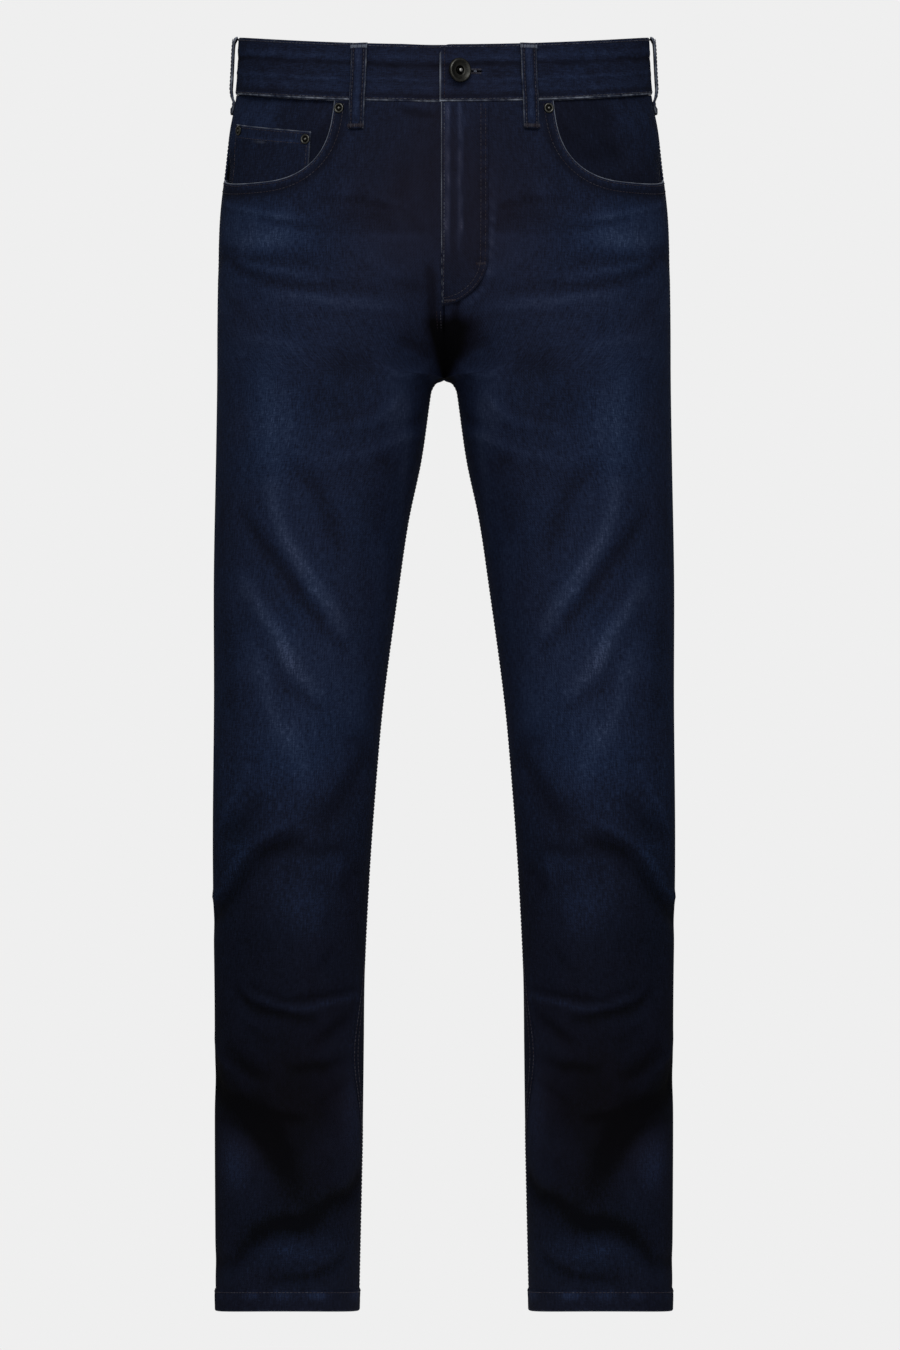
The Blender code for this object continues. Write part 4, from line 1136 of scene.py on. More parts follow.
# ---- Fly ----
# The outer ply of denim over the zip, folded at its free edge and topstitched down in a J. Its free
# edge lies just over the right front and has rubbed pale.
FLY_OVER = 0.0020
FLY_CLOTH = 0.0012
FLY_LEVEL = LYING_GAP + FLY_CLOTH
FLY_EDGE_DASHED_Z = -0.158  # below this the free edge is rubbed in dashes
FLY_DASH_PITCH = 0.0042
BESIDE_J_PITCH = 0.0118  # between the puckers along the J's stitches
NEAR_FLY_T = 0.04


def past_centre(x, z):
    """t at a distance from the centre front, near the fly."""
    return x / rate_at(NEAR_FLY_T, z)


def fly_place(u, v):
    """t, height and distance from the centre, at a share across the fly to its J and a share down it."""
    turn = u * math.pi / 2
    foot_z = FLY_BOTTOM_Z + FLY_WIDTH * (1 - np.cos(turn))
    z = mix(waist_seam(0.0) - HALF_SEAM, foot_z, v)
    x = mix(-FLY_OVER, FLY_WIDTH, np.sin(turn))
    return past_centre(x, z), z, x


u = graded(0.056, 0.0004, 0.0022)[None, :]
v = graded(0.150, 0.0006, 0.0026)[:, None]
t, z, x = fly_place(u, v)
wave = np.sin(z * 190) * np.sin(z * 83 + 1)
# Two worn ridges run down it, where the seam's turnings lie beneath.
first_ridge = hump(x - 0.0026 - 0.0004 * wave, 0.0017)
across = x - 0.0134 + 0.0006 * wave
second_ridge = hump(across, np.where(across > 0, 0.0010, 0.0022))
strength = (0.78 + 0.30 * np.sin(z * 240 + 0.6) * np.sin(z * 97)) * ease((z + 0.172) / 0.030)
pucker = 0.00035 * np.sin(z * 2 * math.pi / BESIDE_J_PITCH + np.sin(z * 71)) * hump(x - 0.0330, 0.0035)
level = FLY_LEVEL + 0.0006 * strength * (first_ridge + second_ridge) + pucker
tone = 0.47 + 0.50 * strength * (first_ridge + 0.85 * second_ridge) + 130 * pucker
slant = (z + 0.0615) * 0.30 + 0.0148 - x
tone += 0.12 * hump(slant, 0.0016) * hump(z + 0.060, 0.012)
tone -= 0.04 * hump(x - FLY_WIDTH + 0.0055, 0.0040)
dashes = 0.45 + 0.45 * np.sin(z * 2 * math.pi / FLY_DASH_PITCH)
dashed = np.where(z > FLY_EDGE_DASHED_Z, 1.0, dashes)
worn = (0.85 + 0.2 * wave) * dashed * hump(x + FLY_OVER, 0.0006)
piece = cloth_piece("fly_cloth", LEFT, t, z, level, level - LYING_GAP, tone, worn)
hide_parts("fly")

# ---- Yokes ----
# The two shaped pieces between the waistband and the back panels, lapped over them and topstitched
# twice; they give the seat its curve.
for side in (RIGHT, LEFT):
    u = graded(0.185, 0.0005, 0.0032)[None, :]
    v = graded(0.054, 0.0005, 0.0028)[:, None]
    t = trimmed(0.5, 1.0, u, -0.05) + 0.0 * v
    z = mix(waist_seam(t) - HALF_SEAM, yoke_seam(t) + HALF_SEAM, v)
    name = "yoke_" + SIDE_NAMES[side]
    tone = 0.42 + 0.08 * hump(t - 0.78, 0.2)
    piece = cloth_piece(name + "_cloth", side, t, z, 0.0, DENIM, tone, turned=(0.0022, 0.0007))
    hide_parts(name)

# ---- Back pockets ----
# Plain patches of denim with a turned hem along the mouth, sides that draw in and a blunt point,
# topstitched twice round; nothing is sewn on their faces.
POCKET_FROM_SIDE = 0.128
POCKET_FOOT_SHIFT = 0.004
POCKET_TOP_Z = -0.084
POCKET_TILT = 0.006
POCKET_TOP_WIDTH = 0.146
POCKET_FOOT_WIDTH = 0.122
POCKET_SIDE = 0.128
POCKET_POINT = 0.026
POCKET_GAP = 0.0010
POCKET_HEM = 0.0150
POCKET_LEVEL = POCKET_GAP + DENIM
POCKET_HEM_RAISE = 0.0004


def pocket_place(u, v):
    """t and height at shares across and down a back pocket."""
    across = 2 * u - 1
    width = mix(POCKET_TOP_WIDTH, POCKET_FOOT_WIDTH, v)
    height = POCKET_SIDE + POCKET_POINT * (1 - np.abs(across))
    z = POCKET_TOP_Z - POCKET_TILT * across - v * height
    middle = POCKET_FROM_SIDE + POCKET_FOOT_SHIFT * v
    return t_at(middle + across * width / 2, z), z


for side in (RIGHT, LEFT):
    half = graded(POCKET_TOP_WIDTH / 2, 0.0006, 0.0030) / 2
    u = np.concatenate([half, 0.5 + half[1:]])[None, :]
    v = graded(0.140, 0.0006, 0.0030)[:, None]
    t, z = pocket_place(u, v)
    below_mouth = POCKET_TOP_Z - POCKET_TILT * (2 * u - 1) - z
    hem = ease((POCKET_HEM - below_mouth) / 0.0015)
    level = POCKET_LEVEL + POCKET_HEM_RAISE * hem
    edge = np.minimum(np.minimum(u, 1 - u) * POCKET_TOP_WIDTH, (1 - v) * POCKET_SIDE)
    tone = 0.52 + 0.10 * hump(t - 0.78, 0.12) * hump(z + 0.17, 0.06) - 0.10 * hem
    tone -= 0.10 * hump(edge, 0.006)
    worn = 0.45 * hump(below_mouth, 0.0010) + 0.45 * hump(edge, 0.0009)
    name = "back_pocket_" + SIDE_NAMES[side]
    piece = cloth_piece(name + "_patch", side, t, z, level, level - POCKET_GAP, tone, worn)
    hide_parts(name)

# ---- Waistband ----
# One long band of denim folded along its top edge and sewn over the raw edges of the rest, puckered
# along its length by its two rows of stitching. The left end laps over the right one and has the
# keyhole buttonhole.
BAND_INSIDE = -0.0018
BAND_OUTSIDE = 0.0010
UNDERLAP_T = 0.062
OVERLAP_T = 0.006
STEP_START_T = 0.070
STEP_END_T = 0.020
UNDERLAP_STEP = 0.0037
BUTTON_X = 0.0095
BUTTON_Z = -0.0158
EYELET_RADIUS = 0.0045
SLIT_HALF = 0.0007
BUTTONHOLE_LENGTH = 0.0205
END_CORNER = 0.0060
BAND_RATE = 0.37  # metres for each unit of the waist near the centre front
BAND_RUN = 0.55  # and about the average of it, for the weave and the streaks
BAND_SIDES = (denim_face, denim_face)

# Long uneven lines that run along the band: height below its top edge, half width, how far it sways,
# seed, how far it stands out, and how it moves the tone: a sunk line is darkened as painted shade, the
# others are worn paler.
STREAKS = (
    (0.0170, 0.0019, 0.0012, 0.7, -0.00055, -0.26),
    (0.0115, 0.0026, 0.0016, 2.9, 0.00035, 0.16),
    (0.0295, 0.0016, 0.0014, 4.4, 0.0005, 0.20),
    (0.0360, 0.0036, 0.0010, 6.1, 0.0, 0.10),
)


def around(waist):
    """The side and t of a waist coordinate: 0 at the centre front, 1 at the centre back by the right."""
    waist = np.asarray(waist, float)
    side = np.where((waist < 0) | ((waist > 1) & (waist <= 2)), LEFT, RIGHT)
    t = np.where(waist < 0, -waist, np.where(waist <= 1, waist, np.abs(2 - waist)))
    return side, t


def band_level(waist):
    """How far the band steps in under its own left end."""
    return -UNDERLAP_STEP * (1 - ease((waist - STEP_END_T) / (STEP_START_T - STEP_END_T)))


def wandering(run, scales, seed):
    """A smooth uneven value between about -1 and 1 along the band, from a few waves of unlike length."""
    total = 0.0
    for k, scale in enumerate(scales):
        total = total + np.sin(2 * math.pi * run / scale + seed * (k + 1) ** 2)
    return total / len(scales)


u = graded(1.080, 0.0005, 0.0028)
v = graded(WAISTBAND_HEIGHT, 0.0004, 0.0011)[:, None]
waist = mix(-UNDERLAP_T, 2 + OVERLAP_T, u)[None, :]
side_grid, t_row = around(waist)
to_overlap = (2 + OVERLAP_T - waist) * BAND_RATE
to_end = np.minimum((waist + UNDERLAP_T) * BAND_RATE, to_overlap)
cut_back = np.clip(1 - to_overlap / END_CORNER, 0, 1)
rounded_off = END_CORNER * (1 - np.sqrt(1 - cut_back**2)) * 0.8
z = mix(waist_top(t_row) - rounded_off, waist_seam(t_row) + HALF_SEAM, v)
t = t_row + 0.0 * z
side_grid = side_grid + 0 * z
down = waist_top(t) - z
run = waist * BAND_RUN
step = band_level(waist)
fine = wandering(run, (0.0123, 0.0171, 0.0096), 2.0)
puckers = 0.00022 * fine * (hump(down - 0.006, 0.006) + hump(down - 0.0415, 0.005))
level = BAND_OUTSIDE + step + puckers - 0.0002
tone = 0.46 - 0.10 * hump(WAISTBAND_HEIGHT - 0.0052 - down, 0.0016)
for height, half_width, sway, seed, relief, change in STREAKS:
    centre = height + sway * wandering(run, (0.31, 0.12, 0.05), seed + 1.0)
    strength = 0.62 + 0.38 * wandering(run, (0.21, 0.083, 0.034, 0.017), seed)
    line = strength * hump(down - centre, half_width)
    level = level + relief * line
    # Painted shade in the sunk streak; the others are worn paler.
    tone = tone + change * line
to_edge = np.minimum(down, WAISTBAND_HEIGHT - down)
corner = np.minimum(np.minimum(to_edge, to_end), v * WAISTBAND_HEIGHT)
outer = form(side_grid, t, z, level - rounding(corner, 0.0022, 0.0009))
inner = form(side_grid, t, z, BAND_INSIDE + step + rounding(down, *FOLD_ROUND))
mottle = np.sin(down * 290 + 3 * wandering(run, (0.09, 0.055), 1.0))
tone += 0.05 * wandering(run, (0.064, 0.041, 0.027), 5.0) * mottle
# Painted shade on the left end, by its step over the underlap.
tone -= 0.22 * hump(to_overlap + 0.0045, 0.0030)
rubbed_low = np.clip(0.66 + 0.75 * wandering(run, (0.13, 0.057, 0.031, 0.012, 0.0067), 3.3), 0, 1.1)
rubbed_top = np.clip(0.25 + 0.45 * wandering(run, (0.087, 0.041, 0.019), 8.1), 0, 1)
worn = 1.05 * rubbed_low * hump(WAISTBAND_HEIGHT - 0.0011 - down, 0.0007)
worn += 0.8 * rubbed_top * hump(down, 0.0014)
on_end = ((waist > 1) & (v > 0.08)) * hump(to_overlap, 0.0008)
worn += on_end * (0.75 + 0.45 * hump(down - 0.0255, 0.008))
uv = np.stack([z, run + 0 * z], axis=-1)
band = wall("waistband_cloth", (outer, inner), tone, worn, uv, BAND_SIDES, flat_place(t, z))
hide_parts("waistband")

along = np.linspace(0, 1, 60)[None, :] * (EYELET_RADIUS + BUTTONHOLE_LENGTH)
round_end = np.sqrt(np.maximum(EYELET_RADIUS**2 - (along - EYELET_RADIUS) ** 2, 0.0))
half = np.maximum(round_end, SLIT_HALF)
hole_z = BUTTON_Z + half * (1 - 2 * np.linspace(0, 1, 9)[:, None])
hole_t = past_centre(BUTTON_X - EYELET_RADIUS + along, hole_z)
hole_skins = [form(LEFT, hole_t, hole_z, level) for level in (0.004, BAND_INSIDE - 0.0007)]
none = 0.0 * hole_t
uv = np.stack([hole_t, hole_z], axis=-1)
cutter = wall("buttonhole_cutter", hole_skins, none, none, uv, BAND_SIDES)
cut = band.modifiers.new("buttonhole", "BOOLEAN")
cut.operation = "DIFFERENCE"
cut.solver = "EXACT"
cut.object = cutter
graph = bpy.context.evaluated_depsgraph_get()
band_mesh = bpy.data.meshes.new_from_object(band.evaluated_get(graph), depsgraph=graph)
band.modifiers.clear()
band.data = band_mesh
bpy.data.objects.remove(cutter)

# ---- Belt loops ----
# Five narrow strips of denim, folded and coverstitched, tacked below the band and at its top edge, so
# that a belt passes behind them.
LOOP_WIDTH = 0.0125
LOOP_CLOTH = 0.0016
LOOP_STANDOFF = 0.0033
LOOP_FOOT = 0.009
Loop = namedtuple("Loop", "name waist drop")
LOOPS = (
    Loop("belt_loop_front_right", 0.129, 0.023),
    Loop("belt_loop_side_right", 0.502, 0.016),
    Loop("belt_loop_back", 1.000, 0.018),
    Loop("belt_loop_side_left", 1.498, 0.016),
    Loop("belt_loop_front_left", 1.871, 0.023),
)


def loop_path(loop):
    """Heights and inner levels down a belt loop, from its foot to its top."""
    t = around(loop.waist)[1]
    top_z = waist_top(t)
    seam_z = waist_seam(t)
    foot_z = seam_z - loop.drop
    on_band = BAND_OUTSIDE + LYING_GAP
    clear_of_band = BAND_OUTSIDE + LOOP_STANDOFF
    return (
        (foot_z, LYING_GAP),
        (foot_z + LOOP_FOOT, LYING_GAP),
        (seam_z - 0.002, on_band + 0.0012),
        (seam_z + 0.003, clear_of_band - 0.0004),
        (seam_z + 0.009, clear_of_band),
        (top_z - 0.009, clear_of_band),
        (top_z - 0.003, clear_of_band - 0.0010),
        (top_z - 0.0003, on_band),
    )


def loop_line(loop, across, height):
    """The side and t at distances across a belt loop."""
    rate = rate_at(np.clip(around(loop.waist)[1], 0.02, 0.98), height)
    return around(loop.waist + across / rate)


for loop in LOOPS:
    path = smooth_line(loop_path(loop), 7)
    heights, levels = path[:, :1], path[:, 1:]
    across = (graded(LOOP_WIDTH, 0.0003, 0.0012) - 0.5)[None, :] * LOOP_WIDTH
    from_edge = LOOP_WIDTH / 2 - np.abs(across)
    dome = 0.0003 * (1 - (2 * across / LOOP_WIDTH) ** 2)
    sides, t = loop_line(loop, across, heights)
    raised = LOOP_CLOTH + dome - rounding(from_edge, 0.0012, 0.0006)
    skins = [form(sides, t, heights, level) for level in (levels + raised, levels)]
    uneven = wandering(heights + loop.waist, (0.031, 0.017, 0.0083), 1.9)
    tone = 0.46 + (0.16 + 0.10 * uneven) * hump(across, 0.0026)
    tone -= 0.16 * hump(np.abs(across) - 0.0040, 0.0009) + 0.20 * hump(heights - heights[0], 0.0045)
    worn = (0.55 + 0.35 * uneven) * hump(from_edge, 0.0007) + 0.5 * hump(heights[-1] - heights, 0.0010)
    uv = np.stack(np.broadcast_arrays(across, heights), axis=-1)
    piece = wall(loop.name + "_strip", skins, tone, worn, uv, BAND_SIDES)
    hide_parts(loop.name)

# ---- Topstitching ----
# Lockstitch in a strong polyester-cotton thread that is dyed close to the denim. Each stitch is a short
# raised bridge of thread; where the cloth rubs, the thread has gone pale with it.
STITCH_PITCH = 0.0032
STITCH_LENGTH = 0.0027
THREAD_RADIUS = 0.00028
STITCH_SIDES = 5
# Shares along a stitch, with the thread's thickness and height there in radii.
STITCH_RINGS = ((-0.50, 0.45, -0.7), (-0.28, 1.0, 0.35), (0.28, 1.0, 0.35), (0.50, 0.45, -0.7))
THREAD_DARK = "#33272f"
THREAD_PALE = "#8f98aa"
SEAM_ROWS = (0.0020, 0.0084)  # how far a lapped seam's two rows of stitches are from its edge
EDGE_ROW = 0.0022  # how far a row is from the edge that it holds down
SCOOP_ROWS = (EDGE_ROW, 0.0086)
FLY_ROWS = (EDGE_ROW, 0.0060)
COIN_ROWS = (EDGE_ROW, COIN_HEM - 0.0016)
BAND_ROWS = (EDGE_ROW, WAISTBAND_HEIGHT - 0.0024)
POCKET_MOUTH_ROWS = (0.0020, POCKET_HEM - 0.0015)
LOOP_ROW_X = 0.0042
LOOP_TACK_X = 0.0068
LOOP_TACK_LENGTH = 0.0032
BUTTONHOLE_BITE = 0.0018
TACK_PITCH = 0.0007
TACK_LENGTH = 0.0024
INSEAM_T = 0.985  # by the centre back and the inseam, where widths are turned into t
# The fly's two bar tacks: where each starts and ends from the centre, its height and how pale it is.
FLY_TACKS = ((0.001, 0.011, FLY_BOTTOM_Z + 0.0040, 0.12), (0.026, 0.034, -0.172, 0.1))
# The waistband's rows in waist coordinates, in spans that stop where t turns back.
BAND_SPANS = ((0.004 - UNDERLAP_T, -0.001), (0.001, 0.999), (1.001, 1.999), (2.0005, 2.004))

random = np.random.default_rng(7)

thread = bpy.data.materials.new("core_spun_thread")
tree = cleared(thread)
pale = add_node(tree, "ShaderNodeAttribute", output="Fac", attribute_name="pale")
lie = add_node(tree, "ShaderNodeTexCoord", output="Object")
fuzz = add_node(tree, "ShaderNodeTexNoise", {"Vector": lie, "Scale": 900.0, "Detail": 2.0})
shade = weighted(tree, pale, ((fuzz, 0.35),))
toned = mixed(tree, shade, linear(THREAD_DARK), linear(THREAD_PALE))
smooth = {"IOR": 1.5, "Specular IOR Level": 0.2}
finish_material(tree, toned, 0.7, fuzz, 0.3, 0.0002, **smooth)

Row = namedtuple("Row", "points ups along length pale")


def normalised(vectors):
    return vectors / np.maximum(np.linalg.norm(vectors, axis=-1, keepdims=True), 1e-12)


def stitch_row(side, t, z, level, pale, pitch=STITCH_PITCH):
    """Places and directions of the stitches in one row, along a line on the worn form."""
    t, z, level = np.broadcast_arrays(t, z, level)
    line = form(side, t, z, level)
    ups = outward(side, t, z)
    run = np.concatenate([[0], np.cumsum(np.linalg.norm(np.diff(line, axis=0), axis=1))])
    count = max(int(run[-1] / pitch), 1)
    at = (np.arange(count) + 0.5) * run[-1] / count

    def sampled(values, places):
        return np.stack([np.interp(places, run, values[:, k]) for k in range(3)], axis=1)

    heading = sampled(line, at + 0.0006) - sampled(line, at - 0.0006)
    up = normalised(sampled(ups, at))
    return Row(sampled(line, at), up, normalised(heading), STITCH_LENGTH, pale)


def tack(side, t, z, level, pale, length=TACK_LENGTH, pitch=TACK_PITCH):
    """A close row of stitches that lie across it, as in a bar tack or a buttonhole's edge."""
    row = stitch_row(side, t, z, level, pale, pitch)
    return row._replace(along=normalised(np.cross(row.ups, row.along)), length=length)


def sew(name, rows):
    """One piece of thread for all the stitches in some rows."""
    points, ups, along = (np.concatenate([row[k] for row in rows]) for k in range(3))
    length = np.concatenate([np.full(len(row.points), row.length) for row in rows])
    tone = np.concatenate([np.full(len(row.points), row.pale) for row in rows])
    tone = np.clip(tone * random.uniform(0.3, 1.9, len(tone)), 0, 1)
    skew = random.normal(0, 0.05, len(points))[:, None]
    along = normalised(along + normalised(np.cross(ups, along)) * skew)
    across = normalised(np.cross(ups, along))
    rings = []
    for share, thick, high in STITCH_RINGS:
        centre = points + along * (length * share)[:, None] + ups * THREAD_RADIUS * high
        for angle in np.linspace(0, 2 * math.pi, STITCH_SIDES, endpoint=False):
            spoke = across * math.cos(angle) + ups * math.sin(angle)
            rings.append(centre + spoke * THREAD_RADIUS * thick)
    each = len(rings)
    shape = [range(STITCH_SIDES), range(each - 1, each - 1 - STITCH_SIDES, -1)]
    for low in range(0, each - STITCH_SIDES, STITCH_SIDES):
        high = low + STITCH_SIDES
        for k in range(STITCH_SIDES):
            n = (k + 1) % STITCH_SIDES
            shape.append((low + k, high + k, high + n, low + n))
    starts = range(0, len(points) * each, each)
    faces = [tuple(first + k for k in face) for first in starts for face in shape]
    return add_piece(name, np.stack(rings, axis=1), faces, [thread], {"pale": np.repeat(tone, each)})


def on_panel(side, t, z, pale, raised=0.0):
    """A row of stitches along a line on a front or back panel, with its creases."""
    return stitch_row(side, t, z, raised - creasing(t, z)[0] * hem_calm(z), pale)


def beside(t, z, distance):
    """A line on the cloth moved to its right hand by a distance, as seen from outside on the left leg."""
    flat = flat_place(t, z)
    heading = normalised(np.gradient(flat, axis=0))
    flat = flat + np.stack([-heading[:, 1], heading[:, 0]], axis=-1) * distance
    return t_at(flat[:, 0], flat[:, 1]), flat[:, 1]


for side in (RIGHT, LEFT):
    word = SIDE_NAMES[side]
    rows = []
    for inset in SCOOP_ROWS:
        t, z = beside(*scoop_edge(np.linspace(SCOOP_SEAM_SHARE, 1, 300)), -inset)
        keep = (z < waist_seam(t) - 0.001) & (t < 0.496)
        rows.append(on_panel(side, t[keep], z[keep], 0.10))
    t = np.linspace(0.004, 0.996, 300)
    rows.append(on_panel(side, t, HEM_SEAM - 0.0016, 0.12, HEM_RAISE))
    z = np.linspace(CROTCH_Z - 0.004, HEM_SEAM + 0.002, 500)
    for distance in SEAM_ROWS:
        rows.append(on_panel(side, 1 - distance / rate_at(INSEAM_T, z), z, 0.12))
    z = np.linspace(yoke_seam(0.5) - 0.002, -0.205, 90)
    rows.append(on_panel(side, 0.5 + 0.0020 / rate_at(0.5, z), z, 0.15))
    sew("stitches_leg_" + word, rows)

    t = np.linspace(0.505, 0.995, 120)
    rows = [stitch_row(side, t, yoke_seam(t) + distance, 0.0, 0.15) for distance in SEAM_ROWS]
    sew("stitches_yoke_" + word, rows)

    rows = []
    for inset in SEAM_ROWS:
        reach = 0.5 - inset / POCKET_TOP_WIDTH
        foot = 1 - inset / POCKET_SIDE
        # Down one side, along both halves of the foot, and up the other side.
        across = 0.5 + reach * np.array([-1, -1, 0, 1, 1])
        down = foot * np.array([0, 1, 1, 1, 0])
        share = np.linspace(0, 1, 40)
        for k in range(len(down) - 1):
            u = mix(across[k], across[k + 1], share)
            t, z = pocket_place(u, mix(down[k], down[k + 1], share))
            rows.append(stitch_row(side, t, z, POCKET_LEVEL, 0.16))
    for drop in POCKET_MOUTH_ROWS:
        t, z = pocket_place(np.linspace(0.02, 0.98, 60), drop / POCKET_SIDE)
        rows.append(stitch_row(side, t, z, POCKET_LEVEL + POCKET_HEM_RAISE, 0.2))
    for u in (0.03, 0.97):
        t, z = pocket_place(np.full(12, u), np.linspace(0.004, 0.085, 12))
        rows.append(tack(side, t, z, POCKET_LEVEL + POCKET_HEM_RAISE, 0.3))
    sew("stitches_back_pocket_" + word, rows)

# The seat seam's two rows lie on the left back, and those of the front seam below the fly on the
# right front.
z = np.linspace(yoke_seam(1.0) - 0.002, CROTCH_Z + 0.003, 200)
rows = [on_panel(LEFT, 1 - distance / rate_at(INSEAM_T, z), z, 0.14) for distance in SEAM_ROWS]
z = np.linspace(FLY_BOTTOM_Z - 0.004, CROTCH_Z + 0.004, 60)
for distance, pale in ((0.0030, 0.22), (0.0066, 0.02)):
    rows.append(on_panel(RIGHT, distance / rate_at(0.015, z), z, pale))
sew("stitches_seat_seam", rows)

rows = []
for inset in FLY_ROWS:
    turn = np.linspace(0, math.pi / 2, 60)[1:]
    wide = FLY_WIDTH - inset
    foot = FLY_BOTTOM_Z + inset
    drop_z = np.linspace(waist_seam(0.0) - 0.001, foot + wide, 120)
    x = np.concatenate([np.full(120, wide), wide * np.cos(turn)])
    z = np.concatenate([drop_z, foot + wide * (1 - np.sin(turn))])
    rows.append(stitch_row(LEFT, past_centre(x, z), z, FLY_LEVEL, 0.10))
z = np.linspace(waist_seam(0.0) - 0.001, FLY_BOTTOM_Z + 0.004, 120)
rows.append(stitch_row(LEFT, past_centre(0.0002, z), z, FLY_LEVEL + 0.0001, 0.3))
for start, end, z, pale in FLY_TACKS:
    rows.append(tack(LEFT, past_centre(np.linspace(start, end, 20), z), z, FLY_LEVEL, pale))
sew("stitches_fly", rows)

rows = []
for drop in COIN_ROWS:
    t, z = coin_place(np.linspace(0.03, 0.97, 60), 0.0)
    level = coin_level(t, z - drop) + COIN_HEM_RAISE
    rows.append(stitch_row(RIGHT, t, z - drop, level, 0.10))
for u in (0.028, 0.972):
    t, z = coin_place(np.full(40, u), np.linspace(0.02, 0.98, 40))
    rows.append(stitch_row(RIGHT, t, z, coin_level(t, z) + 0.0001, 0.10))
sew("stitches_coin_pocket", rows)

rows = []
for drop in BAND_ROWS:
    for first, last in BAND_SPANS:
        waist = np.linspace(first, last, 200)
        sides, t = around(waist)
        level = BAND_OUTSIDE + band_level(waist)
        rows.append(stitch_row(sides, t, waist_top(t) - drop, level, 0.24))
z = np.linspace(waist_top(0.0) - 0.003, waist_seam(0.0) + 0.003, 40)
rows.append(stitch_row(LEFT, past_centre(0.0005, z), z, BAND_OUTSIDE, 0.06))
# The buttonhole's worked edge, and the bar tack where the slit ends by the button, its thread painted
# white as a glint.
t = past_centre(np.linspace(0.0238, 0.0262, 6), BUTTON_Z)
rows.append(tack(LEFT, t, BUTTON_Z, BAND_OUTSIDE, 1.0, length=0.0016, pitch=0.0008))
for sign in (1, -1):
    turn = np.linspace(math.pi, 0.28, 40)
    x = BUTTON_X + EYELET_RADIUS * np.cos(turn)
    z = BUTTON_Z + sign * (EYELET_RADIUS + 0.001) * np.sin(turn)
    rows.append(tack(LEFT, past_centre(x, z), z, BAND_OUTSIDE, 0.16, BUTTONHOLE_BITE))
    x = np.linspace(BUTTON_X + EYELET_RADIUS, BUTTON_X + BUTTONHOLE_LENGTH, 40)
    z = np.full(40, BUTTON_Z + sign * (SLIT_HALF + 0.0008))
    rows.append(tack(LEFT, past_centre(x, z), z, BAND_OUTSIDE, 0.16, BUTTONHOLE_BITE))
sew("stitches_waistband", rows)

rows = []
for loop in LOOPS:
    heights, levels = smooth_line(loop_path(loop), 7).T
    for across in (-LOOP_ROW_X, LOOP_ROW_X):
        sides, t = loop_line(loop, across, heights)
        rows.append(stitch_row(sides, t, heights, levels + LOOP_CLOTH + 0.0002, 0.15))
    for height, pale in ((heights[2], 0.14), (heights[-1] - 0.0034, 0.95)):
        level = np.interp(height, heights, levels) + LOOP_CLOTH + 0.0005
        sides, t = loop_line(loop, np.linspace(-LOOP_TACK_X, LOOP_TACK_X, 20), height)
        rows.append(tack(sides, t, height, level, pale, LOOP_TACK_LENGTH))
sew("stitches_belt_loops", rows)

# ---- Button and rivets ----
# Stamped brass plated in gunmetal and tumbled: a dark warm grey metal, satin in its hollows, polished
# bright on the rims where it rubs. The tack button has a stud in a dished face and is riveted through
# the underlap; the rivets are small domed caps with a nipple.
BUTTON_RADIUS = 0.0100
BUTTON_TILT = math.radians(26)
BUTTON_REACH = 0.0062
BUTTON_SIDES = 64
SHANK_RADIUS = 0.0026
SHANK_LENGTH = 0.0074
RIVET_RADIUS = 0.0042
RIVET_SIDES = 32
RIVET_GAP = 0.0006
RIVET_FROM_SCOOP_T = 0.010
RIVET_BELOW_SEAM = 0.0065
RIVET_BELOW_COIN_HEM = 0.0060
RIVET_INSIDE_COIN_T = (0.0085, 0.0180)
GUNMETAL_COLOURS = ("#1c1d1b", "#6b6b66", "#e8e8e4")

gunmetal = bpy.data.materials.new("tumbled_gunmetal_plate")
tree = cleared(gunmetal)
dark, polished, bare = (linear(colour) for colour in GUNMETAL_COLOURS)
bright = add_node(tree, "ShaderNodeAttribute", output="Fac", attribute_name="bright")
lie = add_node(tree, "ShaderNodeTexCoord", output="Object")
tumble = add_node(tree, "ShaderNodeTexNoise", {"Vector": lie, "Scale": 700.0, "Detail": 4.0})
patch = add_node(tree, "ShaderNodeTexNoise", {"Vector": lie, "Scale": 190.0, "Detail": 2.0})
plated = mixed(tree, weighted(tree, bright, ((tumble, 0.5), (patch, 0.4))), dark, polished)
# The stud and the rivets' middles turn near-white: bare polished metal, and a painted highlight.
polish_and_highlight = maths(tree, "ADD", bright, -1.6, use_clamp=True)
plated = mixed(tree, polish_and_highlight, plated, bare)
satin = weighted(tree, 0.36, ((tumble, 0.3),))
finish_material(tree, plated, satin, tumble, 0.25, 0.0001, Metallic=1.0)


def turned_metal(name, profile, sides, place, facing):
    """A round trim spun from (radius, height, brightness) points, from its middle down its outer side."""
    steps = smooth_line(profile, 4)
    rings = steps[1:-1]
    turn = np.linspace(0, 2 * math.pi, sides, endpoint=False)
    radius = np.maximum(rings[:, 0:1], 0.0)
    height = np.repeat(rings[:, 1:2], sides, axis=1)
    spun = np.stack([radius * np.cos(turn), radius * np.sin(turn), height], axis=-1).reshape(-1, 3)
    points = np.concatenate([spun, [[0, 0, steps[0, 1]], [0, 0, steps[-1, 1]]]])
    shine = np.concatenate([np.repeat(rings[:, 2], sides), steps[[0, -1], 2]])
    index = np.arange(len(spun)).reshape(len(rings), sides)
    ahead = np.roll(index, -1, axis=1)
    quads = np.stack([index[:-1], index[1:], ahead[1:], ahead[:-1]], axis=-1).reshape(-1, 4).tolist()
    fans = [(len(spun), int(a), int(b)) for a, b in zip(index[0], ahead[0])]
    fans += [(len(spun) + 1, int(b), int(a)) for a, b in zip(index[-1], ahead[-1])]
    across = Vector((0, 0, 1)).cross(facing).normalized()
    axes = np.array([across, facing.cross(across), facing])
    points = points @ axes + np.array(place)
    return add_piece(name, points, quads + fans, [gunmetal], {"bright": shine})


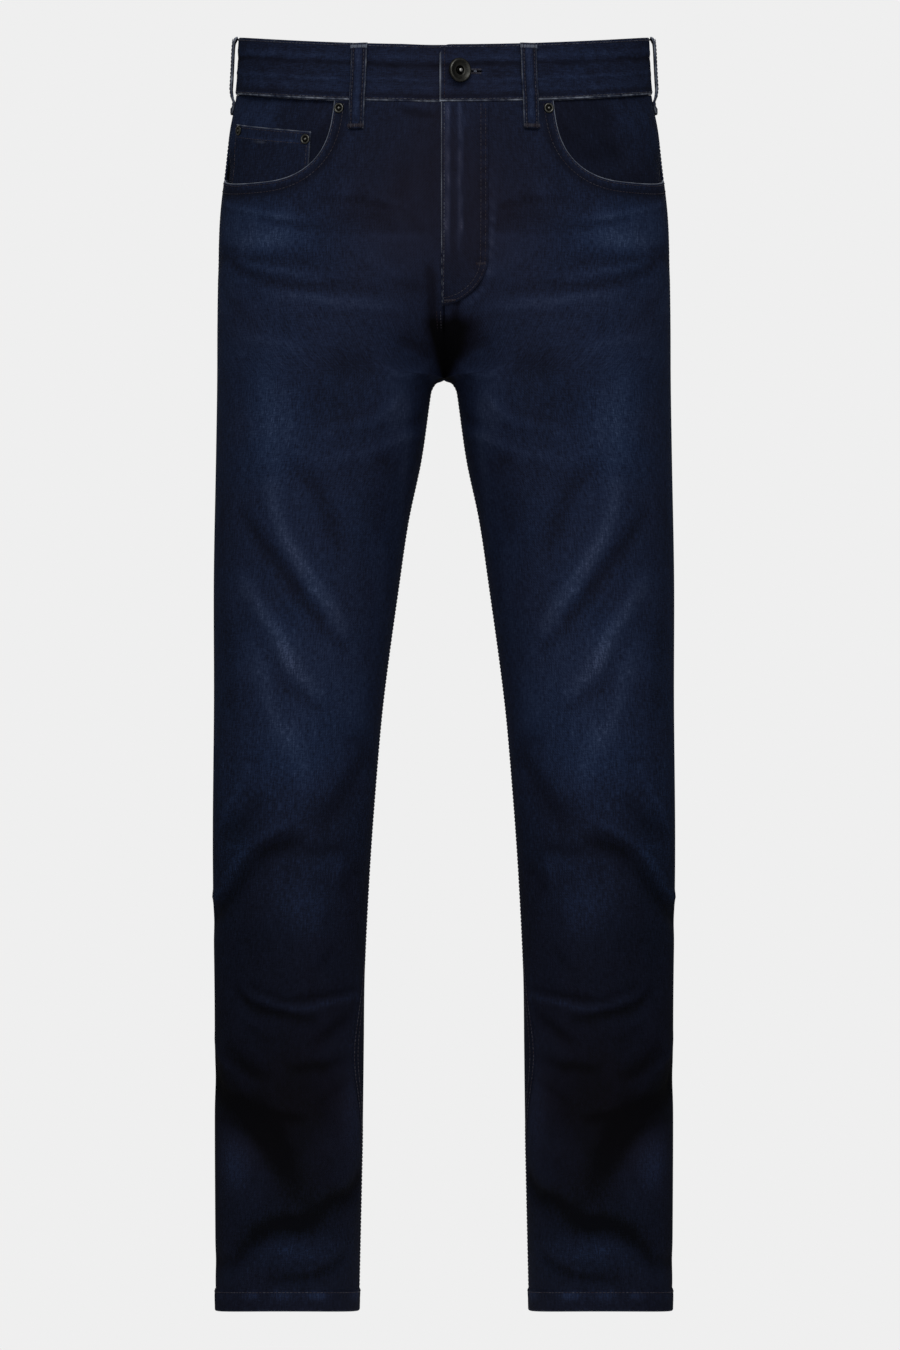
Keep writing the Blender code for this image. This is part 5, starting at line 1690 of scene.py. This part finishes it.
# The button's and a rivet's sections: radius, height and brightness, from the middle outwards. face is
# how high the button's face stands over its place.
face = 0.0030
button_profile = (
    (0.0, face + 0.0002, 2.6),
    (0.0010, face + 0.0001, 2.6),
    (0.0016, face - 0.0006, 1.4),
    (0.0018, face - 0.0022, -0.4),
    (0.0024, face - 0.0026, -0.6),
    (0.0031, face - 0.0024, -0.6),
    (0.0036, face - 0.0017, 0.0),
    (0.0042, face - 0.0014, 0.5),
    (0.0056, face - 0.0011, 0.35),
    (0.0068, face - 0.0007, 0.3),
    (0.0078, face - 0.0003, 0.45),
    (0.0086, face - 0.0001, 0.7),
    (0.0094, face - 0.0006, 0.5),
    (BUTTON_RADIUS, face - 0.0017, 0.2),
    (0.0097, face - 0.0026, 0.0),
    (0.0080, face - 0.0029, 0.0),
    (0.0040, face - 0.0031, 0.0),
    (SHANK_RADIUS, face - 0.0042, 0.0),
    (SHANK_RADIUS, face - 0.0070, 0.0),
    (SHANK_RADIUS, -SHANK_LENGTH + 0.0001, 0.0),
    (0.0, -SHANK_LENGTH, 0.0),
)
button_t = float(past_centre(BUTTON_X, BUTTON_Z))
straight_out = outward(LEFT, button_t, BUTTON_Z)
heading = math.atan2(straight_out[1], straight_out[0]) + BUTTON_TILT
facing = Vector((math.cos(heading), math.sin(heading), 0.0))
place = Vector(form(LEFT, button_t, BUTTON_Z)) + facing * BUTTON_REACH
button = turned_metal("tack_button", button_profile, BUTTON_SIDES, place, facing)
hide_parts("button")

rivet_profile = (
    (0.0, 0.0014, 1.8),
    (RIVET_RADIUS * 0.16, 0.0013, 1.8),
    (RIVET_RADIUS * 0.28, 0.0008, 0.4),
    (RIVET_RADIUS * 0.40, 0.0005, -0.3),
    (RIVET_RADIUS * 0.54, 0.0006, -0.2),
    (RIVET_RADIUS * 0.70, 0.0011, 1.1),
    (RIVET_RADIUS * 0.86, 0.0011, 1.1),
    (RIVET_RADIUS * 0.98, 0.0006, 0.2),
    (RIVET_RADIUS, 0.0003, 0.0),
    (RIVET_RADIUS * 0.95, 0.0, 0.0),
    (0.0, 0.0, 0.0),
)
corner_t = SCOOP_T - RIVET_FROM_SCOOP_T
corner_z = waist_seam(corner_t) - RIVET_BELOW_SEAM
rivets = [
    ("rivet_pocket_right", RIGHT, corner_t, corner_z, 0.0),
    ("rivet_pocket_left", LEFT, corner_t, corner_z, 0.0),
]
for word, t, hem_z in (
    ("inner", COIN_INNER_T + RIVET_INSIDE_COIN_T[0], COIN_INNER_Z),
    ("outer", COIN_OUTER_T - RIVET_INSIDE_COIN_T[1], COIN_OUTER_Z),
):
    z = hem_z - RIVET_BELOW_COIN_HEM
    rivets.append(("rivet_coin_" + word, RIGHT, t, z, coin_level(t, z)))
for name, side, t, z, level in rivets:
    facing = Vector(outward(side, t, z))
    place = Vector(form(side, t, z, level + RIVET_GAP))
    cap = turned_metal(name + "_cap", rivet_profile, RIVET_SIDES, place, facing)
    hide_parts(name)
